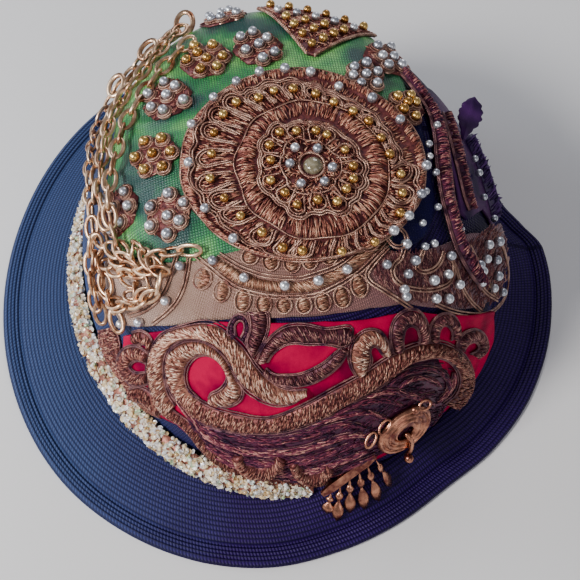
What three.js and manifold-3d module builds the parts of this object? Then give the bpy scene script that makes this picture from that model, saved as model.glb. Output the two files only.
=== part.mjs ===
// A multi-sided hat: a navy straw hat with a short sloping brim. Its crown is dressed with
// patches of embroidered cloth, a round medallion, bead flowers, chains and a small brass brooch.
// Millimetres, +Z up. The hat stands on the rim of its brim, and its front looks along -Y.
//
// A place on the crown is given by an angle round it (0 is right, 90 back, 270 front), by a share
// of the way from the crown's foot (0) to its top (1), and by a lift off the straw.
import * as THREE from 'three';
import { mergeVertices } from 'three/addons/utils/BufferGeometryUtils.js';
import Module from 'manifold-3d';

const wasm = await Module();
wasm.setup();

const DEGREE = Math.PI / 180;

// Driving dimensions of the crown
const CROWN_X = 4.7;
const CROWN_Y = -2.6;
const OVAL = 1.17;
const STRAW = 2;
const CROWN_SIDES = 36;
const CROWN_PROFILE = [
  { halfWidth: 86.5, height: 10 },
  { halfWidth: 87, height: 22.6 },
  { halfWidth: 85.7, height: 37 },
  { halfWidth: 82.3, height: 52 },
  { halfWidth: 76.9, height: 67 },
  { halfWidth: 69.7, height: 80.6 },
  { halfWidth: 60.5, height: 91.5 },
  { halfWidth: 48.7, height: 98.6 },
  { halfWidth: 31.9, height: 102.8 },
  { halfWidth: 0, height: 105 },
];
const CROWN_FOOT = CROWN_PROFILE[0];
const CROWN_TOP = CROWN_PROFILE.at(-1);
// One shoulder of the crown is softer than the others
const SHOULDER_ANGLE = 25;
const SHOULDER_SHARE = 0.045;

// The brim slopes from the crown's foot down to its hem, which is flat on the ground
const BRIM_SIDES = 40;
const BRIM_CLEARANCE = 0.5;
const BRIM_HIGH = 11.2;
const BRIM_BEND = 1.6;
const HEM_WIDTH = 8;
const HEM_THICK = 3;
const GROOVE_WIDTH = 1.6;
const BRIM_WIDTHS = [
  { angle: 0, width: 30 },
  { angle: 5, width: 25 },
  { angle: 12, width: 20 },
  { angle: 25, width: 22 },
  { angle: 45, width: 25 },
  { angle: 65, width: 28 },
  { angle: 90, width: 30.5 },
  { angle: 115, width: 33 },
  { angle: 135, width: 35.5 },
  { angle: 160, width: 37.5 },
  { angle: 180, width: 39.5 },
  { angle: 200, width: 40.5 },
  { angle: 215, width: 39.5 },
  { angle: 230, width: 36 },
  { angle: 245, width: 32 },
  { angle: 258, width: 28 },
  { angle: 270, width: 23.5 },
  { angle: 284, width: 20 },
  { angle: 298, width: 18.2 },
  { angle: 310, width: 21 },
  { angle: 325, width: 25 },
  { angle: 345, width: 29 },
];

// Layers on the straw: cloth first, then what is sewn on the cloth
const CLOTH_LOW = 0.6;
const CLOTH_HIGH = 1.7;
const ON_CLOTH = 2.1;

// Smooth value of one column of a table of angles that closes on itself
function aroundTable(table, column, angle) {
  const turn = ((angle % 360) + 360) % 360;
  const count = table.length;
  let next = table.findIndex((row) => row.angle > turn);
  if (next < 0) next = count;
  const row = (i) => table[((i % count) + count) % count];
  const from = row(next - 1);
  const span = ((row(next).angle - from.angle) % 360 + 360) % 360;
  const part = (turn - from.angle) / span;
  return catmull(row(next - 2)[column], from[column], row(next)[column], row(next + 1)[column], part);
}

function catmull(before, from, to, after, part) {
  const leave = (to - before) / 2;
  const arrive = (after - from) / 2;
  const bend = 2 * (from - to) + leave + arrive;
  const curve = -3 * (from - to) - 2 * leave - arrive;
  return from + part * (leave + part * (curve + part * bend));
}

// Straight value of one column of a table whose first column rises
function alongTable(table, key, column, at) {
  if (at <= table[0][key]) return table[0][column];
  for (let i = 1; i < table.length; i += 1) {
    const low = table[i - 1];
    const high = table[i];
    if (at <= high[key]) {
      const part = (at - low[key]) / (high[key] - low[key]);
      return THREE.MathUtils.lerp(low[column], high[column], part);
    }
  }
  return table.at(-1)[column];
}

// The crown as a surface
const PROFILE_STEPS = 400;
const profileCurve = new THREE.SplineCurve(
  CROWN_PROFILE.map((row) => new THREE.Vector2(row.halfWidth, row.height)),
);
const profilePoints = profileCurve.getSpacedPoints(PROFILE_STEPS);

function profileAt(share) {
  const place = THREE.MathUtils.clamp(share, 0, 1) * PROFILE_STEPS;
  const low = Math.min(Math.floor(place), PROFILE_STEPS - 1);
  return profilePoints[low].clone().lerp(profilePoints[low + 1], place - low);
}

function crownSurface(angle, share) {
  const profile = profileAt(share);
  const rise = (profile.y - CROWN_FOOT.height) / (CROWN_TOP.height - CROWN_FOOT.height);
  const facing = Math.max(0, Math.cos((angle - SHOULDER_ANGLE) * DEGREE));
  const halfWidth = profile.x * (1 - SHOULDER_SHARE * rise * facing * facing);
  const x = CROWN_X + halfWidth * Math.cos(angle * DEGREE);
  const y = CROWN_Y + OVAL * halfWidth * Math.sin(angle * DEGREE);
  return new THREE.Vector3(x, y, profile.y);
}

function crownNormal(angle, share) {
  if (share > 0.995) return new THREE.Vector3(0, 0, 1);
  const step = 0.002;
  const low = THREE.MathUtils.clamp(share - step, 0, 1);
  const up = crownSurface(angle, share + step).sub(crownSurface(angle, low));
  const round = crownSurface(angle + 1, share).sub(crownSurface(angle - 1, share));
  return round.cross(up).normalize();
}

function onCrown(angle, share, lift) {
  return crownSurface(angle, share).addScaledVector(crownNormal(angle, share), lift);
}

// The angle and share of the crown point over a plan place measured from the crown's centre
function crownPlace(x, y) {
  const reach = Math.hypot(x, y / OVAL);
  const angle = Math.atan2(y / OVAL, x) / DEGREE;
  let low = 0;
  let high = 1;
  for (let i = 0; i < 24; i += 1) {
    const middle = (low + high) / 2;
    const point = crownSurface(angle, middle);
    const halfWidth = Math.hypot(point.x - CROWN_X, (point.y - CROWN_Y) / OVAL);
    if (halfWidth > reach) low = middle;
    else high = middle;
  }
  return { angle, share: (low + high) / 2 };
}

function overCrown(x, y, lift) {
  const place = crownPlace(x, y);
  return onCrown(place.angle, place.share, lift);
}

// The brim as a surface: out is the distance from the crown's foot
function brimHeight(angle, out) {
  const field = aroundTable(BRIM_WIDTHS, 'width', angle) - HEM_WIDTH;
  const part = THREE.MathUtils.clamp(out / field, 0, 1);
  return HEM_THICK + (BRIM_HIGH - HEM_THICK) * (1 - part ** BRIM_BEND);
}

function roundFoot(angle, out, height) {
  const halfWidth = CROWN_FOOT.halfWidth + out;
  const x = CROWN_X + halfWidth * Math.cos(angle * DEGREE);
  const y = CROWN_Y + OVAL * halfWidth * Math.sin(angle * DEGREE);
  return new THREE.Vector3(x, y, height);
}

function onBrim(angle, out, lift) {
  return roundFoot(angle, out, brimHeight(angle, out) + lift);
}

// Body builders
function geometryOf(points, triangles) {
  let volume = 0;
  for (const [a, b, c] of triangles) {
    volume += points[a].dot(points[b].clone().cross(points[c]));
  }
  const index = triangles.flatMap(([a, b, c]) => (volume < 0 ? [a, c, b] : [a, b, c]));
  const geometry = new THREE.BufferGeometry();
  geometry.setAttribute('position', new THREE.Float32BufferAttribute(points.flatMap((p) => [p.x, p.y, p.z]), 3));
  geometry.setIndex(index);
  return geometry;
}

// A skin over rings of points. A ring of one point is a tip, and a closed skin joins its last
// ring to its first.
function skin(rings, closed = false) {
  const points = rings.flat();
  const starts = [];
  rings.reduce((start, ring) => {
    starts.push(start);
    return start + ring.length;
  }, 0);
  const triangles = [];
  const last = closed ? rings.length : rings.length - 1;
  for (let i = 0; i < last; i += 1) {
    const next = (i + 1) % rings.length;
    const here = rings[i].length;
    const there = rings[next].length;
    for (let k = 0; k < Math.max(here, there); k += 1) {
      const a = starts[i] + (k % here);
      const b = starts[i] + ((k + 1) % here);
      const c = starts[next] + (k % there);
      const d = starts[next] + ((k + 1) % there);
      if (here > 1) triangles.push([a, b, d]);
      if (there > 1) triangles.push([a, d, c]);
    }
  }
  return geometryOf(points, triangles);
}

// A thin body between an upper and a lower sheet, each a grid of rows of points
function sheetBody(upper, lower) {
  const rows = upper.length;
  const columns = upper[0].length;
  const points = [...upper.flat(), ...lower.flat()];
  const over = (r, c) => r * columns + c;
  const under = (r, c) => rows * columns + over(r, c);
  const triangles = [];
  const quad = (a, b, c, d) => triangles.push([a, b, c], [a, c, d]);
  for (let r = 0; r + 1 < rows; r += 1) {
    for (let c = 0; c + 1 < columns; c += 1) {
      quad(over(r, c), over(r, c + 1), over(r + 1, c + 1), over(r + 1, c));
      quad(under(r, c), under(r + 1, c), under(r + 1, c + 1), under(r, c + 1));
    }
  }
  for (let r = 0; r + 1 < rows; r += 1) {
    quad(over(r, 0), over(r + 1, 0), under(r + 1, 0), under(r, 0));
    quad(over(r, columns - 1), under(r, columns - 1), under(r + 1, columns - 1), over(r + 1, columns - 1));
  }
  for (let c = 0; c + 1 < columns; c += 1) {
    quad(over(0, c), under(0, c), under(0, c + 1), over(0, c + 1));
    quad(over(rows - 1, c), over(rows - 1, c + 1), under(rows - 1, c + 1), under(rows - 1, c));
  }
  return geometryOf(points, triangles);
}

function solidOf(geometry) {
  const merged = mergeVertices(geometry, 1e-4);
  const mesh = new wasm.Mesh({
    numProp: 3,
    vertProperties: new Float32Array(merged.attributes.position.array),
    triVerts: new Uint32Array(merged.index.array),
  });
  return new wasm.Manifold(mesh);
}

function geometryOfSolid(solid) {
  const mesh = solid.getMesh();
  const geometry = new THREE.BufferGeometry();
  geometry.setAttribute('position', new THREE.Float32BufferAttribute(mesh.vertProperties, 3));
  geometry.setIndex(Array.from(mesh.triVerts));
  return geometry;
}

function joined(geometries) {
  const solids = geometries.map(solidOf);
  return geometryOfSolid(solids.reduce((whole, piece) => whole.add(piece)));
}

const hat = new THREE.Group();

const NAVY_STRAW = { colour: 0x232a5c, roughness: 0.6, metalness: 0 };
const GREEN_SATIN = { colour: 0x2c8a4a, roughness: 0.45, metalness: 0 };
const RED_SATIN = { colour: 0xb3122f, roughness: 0.4, metalness: 0 };
const PURPLE_VELVET = { colour: 0x3a1a6e, roughness: 0.7, metalness: 0 };
const GOLD_CLOTH = { colour: 0xb08a5c, roughness: 0.6, metalness: 0.2 };
const COPPER_THREAD = { colour: 0xa06a48, roughness: 0.45, metalness: 0.5 };
const SEQUINS = { colour: 0xe8e0c8, roughness: 0.3, metalness: 0.2 };
const CHAIN_METAL = { colour: 0xb98d5b, roughness: 0.3, metalness: 1 };
const BRASS = { colour: 0xc09045, roughness: 0.3, metalness: 1 };

function add(name, geometry, finish) {
  const { colour, roughness, metalness } = finish;
  const material = new THREE.MeshStandardMaterial({ color: colour, roughness, metalness });
  const mesh = new THREE.Mesh(geometry, material);
  mesh.name = name;
  hat.add(mesh);
}

function steps(count) {
  return Array.from({ length: count + 1 }, (_, i) => i / count);
}

function anglesRound(count) {
  return Array.from({ length: count }, (_, i) => (360 * i) / count);
}

// Crown: an open hollow shell of straw
const CROWN_OUTER_SHARES = [0, 0.12, 0.26, 0.4, 0.54, 0.67, 0.8, 0.91];
const CROWN_INNER_SHARES = [0.86, 0.7, 0.54, 0.38, 0.2, 0];

function crown() {
  const ring = (share, lift) => anglesRound(CROWN_SIDES).map((angle) => onCrown(angle, share, lift));
  const foot = anglesRound(CROWN_SIDES).map((angle) => roundFoot(angle, -STRAW, CROWN_FOOT.height));
  const rings = [[onCrown(0, 1, -STRAW)]];
  for (const share of CROWN_INNER_SHARES.slice(0, -1)) rings.push(ring(share, -STRAW));
  rings.push(foot);
  for (const share of CROWN_OUTER_SHARES) rings.push(ring(share, 0));
  rings.push([onCrown(0, 1, 0)]);
  return skin(rings);
}

// Brim: a sloping ring with a hem that a groove sets off
const FIELD_PARTS = [0, 0.4, 0.75, 1];

function brimSection(angle) {
  const width = aroundTable(BRIM_WIDTHS, 'width', angle);
  const field = width - HEM_WIDTH;
  const section = FIELD_PARTS.map((part) => {
    const out = Math.max(BRIM_CLEARANCE, part * field);
    return roundFoot(angle, out, brimHeight(angle, out));
  });
  section.push(roundFoot(angle, field + GROOVE_WIDTH / 2, HEM_THICK - 0.8));
  section.push(roundFoot(angle, field + GROOVE_WIDTH, HEM_THICK));
  section.push(roundFoot(angle, width - 1.2, HEM_THICK - 0.3));
  section.push(roundFoot(angle, width, HEM_THICK / 2));
  section.push(roundFoot(angle, width - 0.8, 0));
  section.push(roundFoot(angle, width - HEM_WIDTH + GROOVE_WIDTH, 0));
  for (const part of [0.72, 0.38, 0]) {
    const out = Math.max(BRIM_CLEARANCE, part * field);
    section.push(roundFoot(angle, out, Math.max(0.4, brimHeight(angle, out) - STRAW)));
  }
  return section;
}

function brim() {
  return skin(anglesRound(BRIM_SIDES).map(brimSection), true);
}

// Green cloth over the top of the crown
const GREEN_EDGE = [
  { angle: 0, share: 0.655 },
  { angle: 20, share: 0.645 },
  { angle: 45, share: 0.58 },
  { angle: 70, share: 0.5 },
  { angle: 100, share: 0.47 },
  { angle: 130, share: 0.49 },
  { angle: 150, share: 0.52 },
  { angle: 170, share: 0.53 },
  { angle: 185, share: 0.5 },
  { angle: 199, share: 0.475 },
  { angle: 213, share: 0.545 },
  { angle: 230, share: 0.63 },
  { angle: 245, share: 0.69 },
  { angle: 262, share: 0.705 },
  { angle: 279, share: 0.7 },
  { angle: 296, share: 0.655 },
  { angle: 312, share: 0.6 },
  { angle: 324, share: 0.6 },
  { angle: 340, share: 0.64 },
];
const GREEN_SIDES = 36;
const GREEN_PARTS = [0.2, 0.4, 0.57, 0.72, 0.86, 1];
function greenCloth() {
  const ring = (part, lift) => anglesRound(GREEN_SIDES).map((angle) => {
    const edge = aroundTable(GREEN_EDGE, 'share', angle);
    return onCrown(angle, THREE.MathUtils.lerp(1, edge, part), lift);
  });
  const rings = [[onCrown(0, 1, CLOTH_LOW)]];
  for (const part of GREEN_PARTS) rings.push(ring(part, CLOTH_LOW));
  for (const part of [...GREEN_PARTS].reverse()) rings.push(ring(part, CLOTH_HIGH));
  rings.push([onCrown(0, 1, CLOTH_HIGH)]);
  return skin(rings);
}

// Medallion: a round padded patch with raised rings round a stone
const MEDALLION_STONE = { x: 6.7, y: -20.2 };
const MEDALLION_CENTRE = { x: 4.4, y: -15 };
const MEDALLION_RADIUS = 44.8;
const MEDALLION_SQUASH = 0.905;
const MEDALLION_SCALLOP = 1;
// A flower pushes the rim in at its right back
const MEDALLION_DENT = { angle: 45, spread: 26, depth: 0.075 };
const MEDALLION_SIDES = 32;
const MEDALLION_RELIEF = [
  { radius: 3.2, height: 4.2 },
  { radius: 5, height: 1.8 },
  { radius: 12, height: 2.4 },
  { radius: 19, height: 1.7 },
  { radius: 25, height: 2.9 },
  { radius: 35, height: 1.9 },
  { radius: 40, height: 3.2 },
  { radius: MEDALLION_RADIUS, height: 1.4 },
];

function medallionPoint(radius, angle, lift) {
  const part = radius / MEDALLION_RADIUS;
  const centreX = THREE.MathUtils.lerp(MEDALLION_STONE.x, MEDALLION_CENTRE.x, part);
  const centreY = THREE.MathUtils.lerp(MEDALLION_STONE.y, MEDALLION_CENTRE.y, part);
  const x = centreX + radius * Math.cos(angle * DEGREE);
  const squash = THREE.MathUtils.lerp(1, MEDALLION_SQUASH, part);
  const y = centreY + squash * radius * Math.sin(angle * DEGREE);
  return overCrown(x, y, lift);
}

function medallionRing(radius, lift) {
  return anglesRound(MEDALLION_SIDES).map((angle, i) => {
    const rim = radius === MEDALLION_RADIUS ? MEDALLION_SCALLOP * (i % 2 ? -1 : 1) : 0;
    const away = (angle - MEDALLION_DENT.angle) / MEDALLION_DENT.spread;
    const dent = MEDALLION_DENT.depth * Math.exp(-away * away) * (radius / MEDALLION_RADIUS) ** 2;
    return medallionPoint(radius * (1 - dent) + rim, angle, lift);
  });
}

function medallion() {
  const rings = [[medallionPoint(0, 0, ON_CLOTH)]];
  for (const radius of [15, 32, MEDALLION_RADIUS]) rings.push(medallionRing(radius, ON_CLOTH));
  for (const row of [...MEDALLION_RELIEF].reverse()) {
    rings.push(medallionRing(row.radius, ON_CLOTH + row.height));
  }
  rings.push([medallionPoint(0, 0, ON_CLOTH + 4.8)]);
  return skin(rings);
}

// Corner patch: a triangle of beaded cloth whose tip points at the medallion
const CORNER_TIP = { x: 13, y: 31 };
const CORNER_LEFT = { x: -2, y: 73 };
const CORNER_RIGHT = { x: 42, y: 52 };
const CORNER_STEPS = 5;
const CORNER_THICK = 1.3;

function cornerPatch() {
  const sheet = (lift) => steps(CORNER_STEPS).map((down) => steps(CORNER_STEPS).map((across) => {
    const side = THREE.MathUtils.lerp(0.06, 1, down);
    const x = CORNER_TIP.x + side * (THREE.MathUtils.lerp(CORNER_LEFT.x, CORNER_RIGHT.x, across) - CORNER_TIP.x);
    const y = CORNER_TIP.y + side * (THREE.MathUtils.lerp(CORNER_LEFT.y, CORNER_RIGHT.y, across) - CORNER_TIP.y);
    return overCrown(x, y, lift);
  }));
  return sheetBody(sheet(ON_CLOTH + CORNER_THICK), sheet(ON_CLOTH));
}

// Cloth pieces that lie round the crown between a low and a high share. A puff stands the cloth
// off the straw.
function roundPatch(table, columns, rows, low, high) {
  const first = table[0].angle;
  const last = table.at(-1).angle;
  const sheet = (lift) => steps(columns).map((along) => {
    const angle = THREE.MathUtils.lerp(first, last, along);
    const foot = alongTable(table, 'angle', 'low', angle);
    const head = alongTable(table, 'angle', 'high', angle);
    const puff = alongTable(table, 'angle', 'puff', angle);
    return steps(rows).map((up) => onCrown(angle, THREE.MathUtils.lerp(foot, head, up), lift + puff));
  });
  return sheetBody(sheet(high), sheet(low));
}

const GOLD_BAND = [
  { angle: 198, low: 0.375, high: 0.455, puff: 0 },
  { angle: 205, low: 0.34, high: 0.49, puff: 0 },
  { angle: 211, low: 0.325, high: 0.52, puff: 0 },
  { angle: 222, low: 0.42, high: 0.575, puff: 0 },
  { angle: 235, low: 0.508, high: 0.635, puff: 0 },
  { angle: 248, low: 0.552, high: 0.682, puff: 0 },
  { angle: 262, low: 0.565, high: 0.69, puff: 0 },
  { angle: 276, low: 0.563, high: 0.688, puff: 0 },
  { angle: 287, low: 0.55, high: 0.668, puff: 0 },
  { angle: 298, low: 0.52, high: 0.633, puff: 0 },
  { angle: 308, low: 0.445, high: 0.592, puff: 0 },
  { angle: 316, low: 0.37, high: 0.56, puff: 0 },
  { angle: 323, low: 0.3, high: 0.525, puff: 0 },
  { angle: 331, low: 0.235, high: 0.475, puff: 1.4 },
  { angle: 338, low: 0.25, high: 0.43, puff: 3.6 },
  { angle: 344, low: 0.3, high: 0.38, puff: 4.6 },
];
const GOLD_BAND_HIGH = 1.8;

const FRONT_CLOTH = [
  { angle: 213, low: 0.165, high: 0.305, puff: 0 },
  { angle: 218, low: 0.145, high: 0.365, puff: 0 },
  { angle: 225, low: 0.12, high: 0.425, puff: 0 },
  { angle: 232, low: 0.15, high: 0.475, puff: 0 },
  { angle: 240, low: 0.145, high: 0.52, puff: 0 },
  { angle: 250, low: 0.105, high: 0.545, puff: 0 },
  { angle: 262, low: 0.065, high: 0.552, puff: 0 },
  { angle: 272, low: 0.065, high: 0.55, puff: 0 },
  { angle: 282, low: 0.09, high: 0.535, puff: 0 },
  { angle: 292, low: 0.1, high: 0.515, puff: 0 },
  { angle: 300, low: 0.1, high: 0.49, puff: 0 },
  { angle: 308, low: 0.085, high: 0.425, puff: 0.6 },
  { angle: 314, low: 0.07, high: 0.37, puff: 1.4 },
  { angle: 320, low: 0.065, high: 0.31, puff: 2.2 },
  { angle: 326, low: 0.11, high: 0.245, puff: 3 },
];

const SIDE_CLOTH = [
  { angle: 334, low: 0.492, high: 0.52, puff: 0 },
  { angle: 340, low: 0.448, high: 0.55, puff: 0 },
  { angle: 345, low: 0.4, high: 0.567, puff: 0 },
  { angle: 348, low: 0.27, high: 0.577, puff: 0 },
  { angle: 356, low: 0.27, high: 0.592, puff: 0 },
  { angle: 364, low: 0.33, high: 0.6, puff: 0 },
  { angle: 372, low: 0.41, high: 0.615, puff: 0 },
  { angle: 380, low: 0.52, high: 0.625, puff: 0 },
];

// Raised strips that follow a path on the crown: each row gives a place, the strip's half width
// and how far its underside is off the straw
function strip(path, height, count) {
  const column = (name) => new THREE.SplineCurve(path.map((row, i) => new THREE.Vector2(i, row[name])));
  const curves = ['angle', 'share', 'half', 'lift'].map(column);
  const at = (curve, along) => curve.getPoint(along).y;
  const place = (along) => {
    const [angle, share, half, lift] = curves.map((curve) => at(curve, along));
    return { centre: crownSurface(angle, share), normal: crownNormal(angle, share), half, lift };
  };
  const rings = steps(count).map((along) => {
    const here = place(along);
    const ahead = place(Math.min(1, along + 0.01)).centre;
    const behind = place(Math.max(0, along - 0.01)).centre;
    const side = here.normal.clone().cross(ahead.sub(behind)).normalize();
    const corner = (across, up) => here.centre.clone()
      .addScaledVector(side, across * here.half)
      .addScaledVector(here.normal, here.lift + up * height);
    return [corner(-1, 0), corner(1, 0), corner(0.92, 0.55), corner(0, 1), corner(-0.92, 0.55)];
  });
  const middle = (ring) => [ring[3].clone().lerp(ring[0].clone().lerp(ring[1], 0.5), 0.5)];
  return skin([middle(rings[0]), ...rings, middle(rings.at(-1))]);
}

const SCROLL_HEIGHT = 2.2;
const SCROLL_SPIRAL = [
  { angle: 247, share: 0.318, half: 2.4, lift: 2.1 },
  { angle: 240, share: 0.291, half: 3.8, lift: 2.1 },
  { angle: 232, share: 0.3, half: 5, lift: 2.1 },
  { angle: 227.8, share: 0.37, half: 5.6, lift: 2.1 },
  { angle: 232.5, share: 0.432, half: 5.8, lift: 2.1 },
  { angle: 241, share: 0.456, half: 5.8, lift: 2.1 },
  { angle: 248, share: 0.425, half: 5, lift: 2.1 },
  { angle: 253.5, share: 0.383, half: 4.2, lift: 2.1 },
  { angle: 260, share: 0.365, half: 2.8, lift: 2.1 },
  { angle: 266, share: 0.37, half: 1.2, lift: 2.1 },
];
const SCROLL_STEM = [
  { angle: 227, share: 0.225, half: 1.6, lift: 2.1 },
  { angle: 234, share: 0.222, half: 3, lift: 2.1 },
  { angle: 243, share: 0.232, half: 3.6, lift: 2.1 },
  { angle: 253, share: 0.26, half: 3.8, lift: 2.1 },
  { angle: 264, share: 0.305, half: 3.8, lift: 2.1 },
  { angle: 274, share: 0.355, half: 3.8, lift: 2.1 },
  { angle: 284, share: 0.39, half: 3.8, lift: 2.1 },
  { angle: 294, share: 0.392, half: 3.6, lift: 2.1 },
  { angle: 303, share: 0.355, half: 3.2, lift: 2.1 },
  { angle: 310, share: 0.285, half: 3, lift: 3.1 },
  { angle: 313, share: 0.2, half: 2.4, lift: 3.7 },
];
const SCROLL_LEAF = [
  { angle: 257, share: 0.44, half: 1.4, lift: 2.1 },
  { angle: 255.5, share: 0.475, half: 1.8, lift: 2.1 },
  { angle: 259, share: 0.508, half: 2.2, lift: 2.1 },
  { angle: 266, share: 0.522, half: 2.2, lift: 2.1 },
  { angle: 273.5, share: 0.512, half: 1.8, lift: 2.1 },
  { angle: 275, share: 0.475, half: 1.6, lift: 2.1 },
  { angle: 270.5, share: 0.445, half: 1.8, lift: 2.1 },
  { angle: 263.5, share: 0.43, half: 1.4, lift: 2.1 },
];
const SCROLL_CRESCENT = [
  { angle: 279, share: 0.435, half: 1.2, lift: 2.1 },
  { angle: 278.5, share: 0.47, half: 1.8, lift: 2.1 },
  { angle: 282, share: 0.492, half: 2.2, lift: 2.1 },
  { angle: 286.5, share: 0.478, half: 2, lift: 2.1 },
  { angle: 287.5, share: 0.447, half: 1.2, lift: 2.1 },
];
const SCROLL_CURL = [
  { angle: 293.5, share: 0.445, half: 1.6, lift: 2.1 },
  { angle: 293.5, share: 0.478, half: 2, lift: 2.1 },
  { angle: 297.5, share: 0.48, half: 2, lift: 2.1 },
  { angle: 300.5, share: 0.445, half: 1.8, lift: 2.1 },
  { angle: 304.5, share: 0.428, half: 1.7, lift: 2.6 },
  { angle: 308.5, share: 0.383, half: 1.8, lift: 3.2 },
  { angle: 313.5, share: 0.325, half: 1.8, lift: 3.9 },
  { angle: 317, share: 0.25, half: 1.8, lift: 4.4 },
  { angle: 317.5, share: 0.16, half: 1.6, lift: 4.4 },
];

const SIDE_BAND_HEIGHT = 3;
const SIDE_BAND_1 = [
  { angle: 26, share: 0.625, half: 2, lift: 2.1 },
  { angle: 15, share: 0.613, half: 2.4, lift: 2.1 },
  { angle: 6, share: 0.6, half: 2.6, lift: 2.1 },
  { angle: -4, share: 0.602, half: 2.8, lift: 2.1 },
  { angle: -15, share: 0.603, half: 3, lift: 2.1 },
  { angle: -25, share: 0.586, half: 3, lift: 2.2 },
  { angle: -31, share: 0.553, half: 3, lift: 2.4 },
  { angle: -35, share: 0.508, half: 3, lift: 2.8 },
  { angle: -35.5, share: 0.444, half: 3, lift: 2.9 },
  { angle: -34, share: 0.351, half: 2.2, lift: 3.1 },
];
const SIDE_BAND_2 = [
  { angle: 8, share: 0.54, half: 1.8, lift: 2.1 },
  { angle: 2, share: 0.547, half: 2.4, lift: 2.1 },
  { angle: -5, share: 0.545, half: 2.8, lift: 2.1 },
  { angle: -12, share: 0.535, half: 2.8, lift: 2.1 },
  { angle: -19, share: 0.51, half: 2.8, lift: 2.1 },
  { angle: -22, share: 0.484, half: 2, lift: 2.1 },
];
const SIDE_TRIM_HEIGHT = 4;
const SIDE_TRIM = [
  { angle: 7, share: 0.425, half: 1.8, lift: 2.1 },
  { angle: 3, share: 0.4, half: 2.2, lift: 2.1 },
  { angle: -1, share: 0.37, half: 2.4, lift: 2.1 },
  { angle: -5, share: 0.338, half: 2.4, lift: 2.1 },
  { angle: -8, share: 0.305, half: 2.2, lift: 2.1 },
  { angle: -10, share: 0.285, half: 1.8, lift: 2.1 },
];

// Petal: a ribbed leaf of velvet that stands off the crown
const PETAL_PLACE = { angle: 3, share: 0.472 };
const PETAL_STAND = new THREE.Vector3(0.37, 0.78, 0.51);
const PETAL_FACE = new THREE.Vector3(0, -0.53, 0.85);
const PETAL_SECTIONS = [
  { along: 3.5, half: 2.2, thick: 1.1 },
  { along: 7.5, half: 4.4, thick: 1.5 },
  { along: 11.5, half: 4.6, thick: 1.5 },
  { along: 15, half: 3.2, thick: 1.1 },
];
const PETAL_LENGTH = 17.5;

function petal() {
  const stand = PETAL_STAND.clone().normalize();
  const across = stand.clone().cross(PETAL_FACE).normalize();
  const face = across.clone().cross(stand).normalize();
  const root = onCrown(PETAL_PLACE.angle, PETAL_PLACE.share, ON_CLOTH);
  const rings = PETAL_SECTIONS.map((row) => anglesRound(10).map((angle, i) => root.clone()
    .addScaledVector(stand, row.along)
    .addScaledVector(across, row.half * Math.cos(angle * DEGREE))
    .addScaledVector(face, row.thick * Math.sin(angle * DEGREE) * (i % 2 ? 1 : 0.8))));
  return skin([[root], ...rings, [root.clone().addScaledVector(stand, PETAL_LENGTH)]]);
}

// Sequin trim: a fat braid round the foot of the crown
const TRIM_START = 28;
const TRIM_END = 267;
const TRIM_COUNT = 40;
const TRIM_INNER = 2.4;
const TRIM_SIZE = [
  { angle: 28, wide: 3, high: 4 },
  { angle: 45, wide: 5.5, high: 8.5 },
  { angle: 140, wide: 6.5, high: 10.5 },
  { angle: 205, wide: 6.2, high: 10 },
  { angle: 225, wide: 5.8, high: 8 },
  { angle: 245, wide: 5.4, high: 5.6 },
  { angle: 258, wide: 4.6, high: 3.6 },
  { angle: 267, wide: 3, high: 2 },
];

function sequinTrim() {
  const rings = steps(TRIM_COUNT).map((along) => {
    const angle = THREE.MathUtils.lerp(TRIM_START, TRIM_END, along);
    const wide = alongTable(TRIM_SIZE, 'angle', 'wide', angle);
    const high = alongTable(TRIM_SIZE, 'angle', 'high', angle);
    const seat = CLOTH_LOW;
    const foot = brimHeight(angle, TRIM_INNER) + seat;
    return [
      roundFoot(angle, TRIM_INNER, foot),
      roundFoot(angle, TRIM_INNER + wide * 0.9, brimHeight(angle, TRIM_INNER + wide * 0.9) + seat),
      roundFoot(angle, TRIM_INNER + wide, foot + high * 0.35),
      roundFoot(angle, TRIM_INNER + wide * 0.55, foot + high * 0.85),
      roundFoot(angle, TRIM_INNER, foot + high),
    ];
  });
  const middle = (ring) => [ring.reduce((sum, p) => sum.add(p), new THREE.Vector3()).divideScalar(ring.length)];
  return skin([middle(rings[0]), ...rings, middle(rings.at(-1))]);
}

// Chains: interlocked oval links laid along a path
const LINK_LENGTH = 8.9;
const LINK_HALF_WIDTH = 1.95;
const LINK_WIRE = 0.55;
const LINK_STEPS = 10;
const LINK_WIRE_SIDES = 5;
const LINK_BITE = 0.62;
const LINK_ROLL = 45;
const CHAIN_OUTER = [
  { angle: 121, share: 0.528, lift: 5.2 },
  { angle: 130, share: 0.542, lift: 4.4 },
  { angle: 141, share: 0.56, lift: 4.4 },
  { angle: 150, share: 0.545, lift: 4.4 },
  { angle: 160, share: 0.524, lift: 4.4 },
  { angle: 171, share: 0.505, lift: 4.4 },
  { angle: 179, share: 0.486, lift: 4.4 },
  { angle: 186, share: 0.458, lift: 4.4 },
  { angle: 193, share: 0.43, lift: 4.4 },
  { angle: 200, share: 0.405, lift: 4.6 },
  { angle: 207, share: 0.375, lift: 4.6 },
  { angle: 213, share: 0.335, lift: 4.8 },
];
const CHAIN_INNER = [
  { angle: 124, share: 0.645, lift: 4.4 },
  { angle: 135, share: 0.648, lift: 4.4 },
  { angle: 146, share: 0.64, lift: 4.4 },
  { angle: 158, share: 0.622, lift: 4.6 },
  { angle: 168, share: 0.6, lift: 5.4 },
  { angle: 178, share: 0.588, lift: 6.8 },
  { angle: 187, share: 0.566, lift: 8.2 },
  { angle: 195, share: 0.54, lift: 8.2 },
  { angle: 202, share: 0.512, lift: 6 },
  { angle: 209, share: 0.51, lift: 5 },
  { angle: 216, share: 0.535, lift: 5 },
  { angle: 221, share: 0.565, lift: 5 },
];

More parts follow.
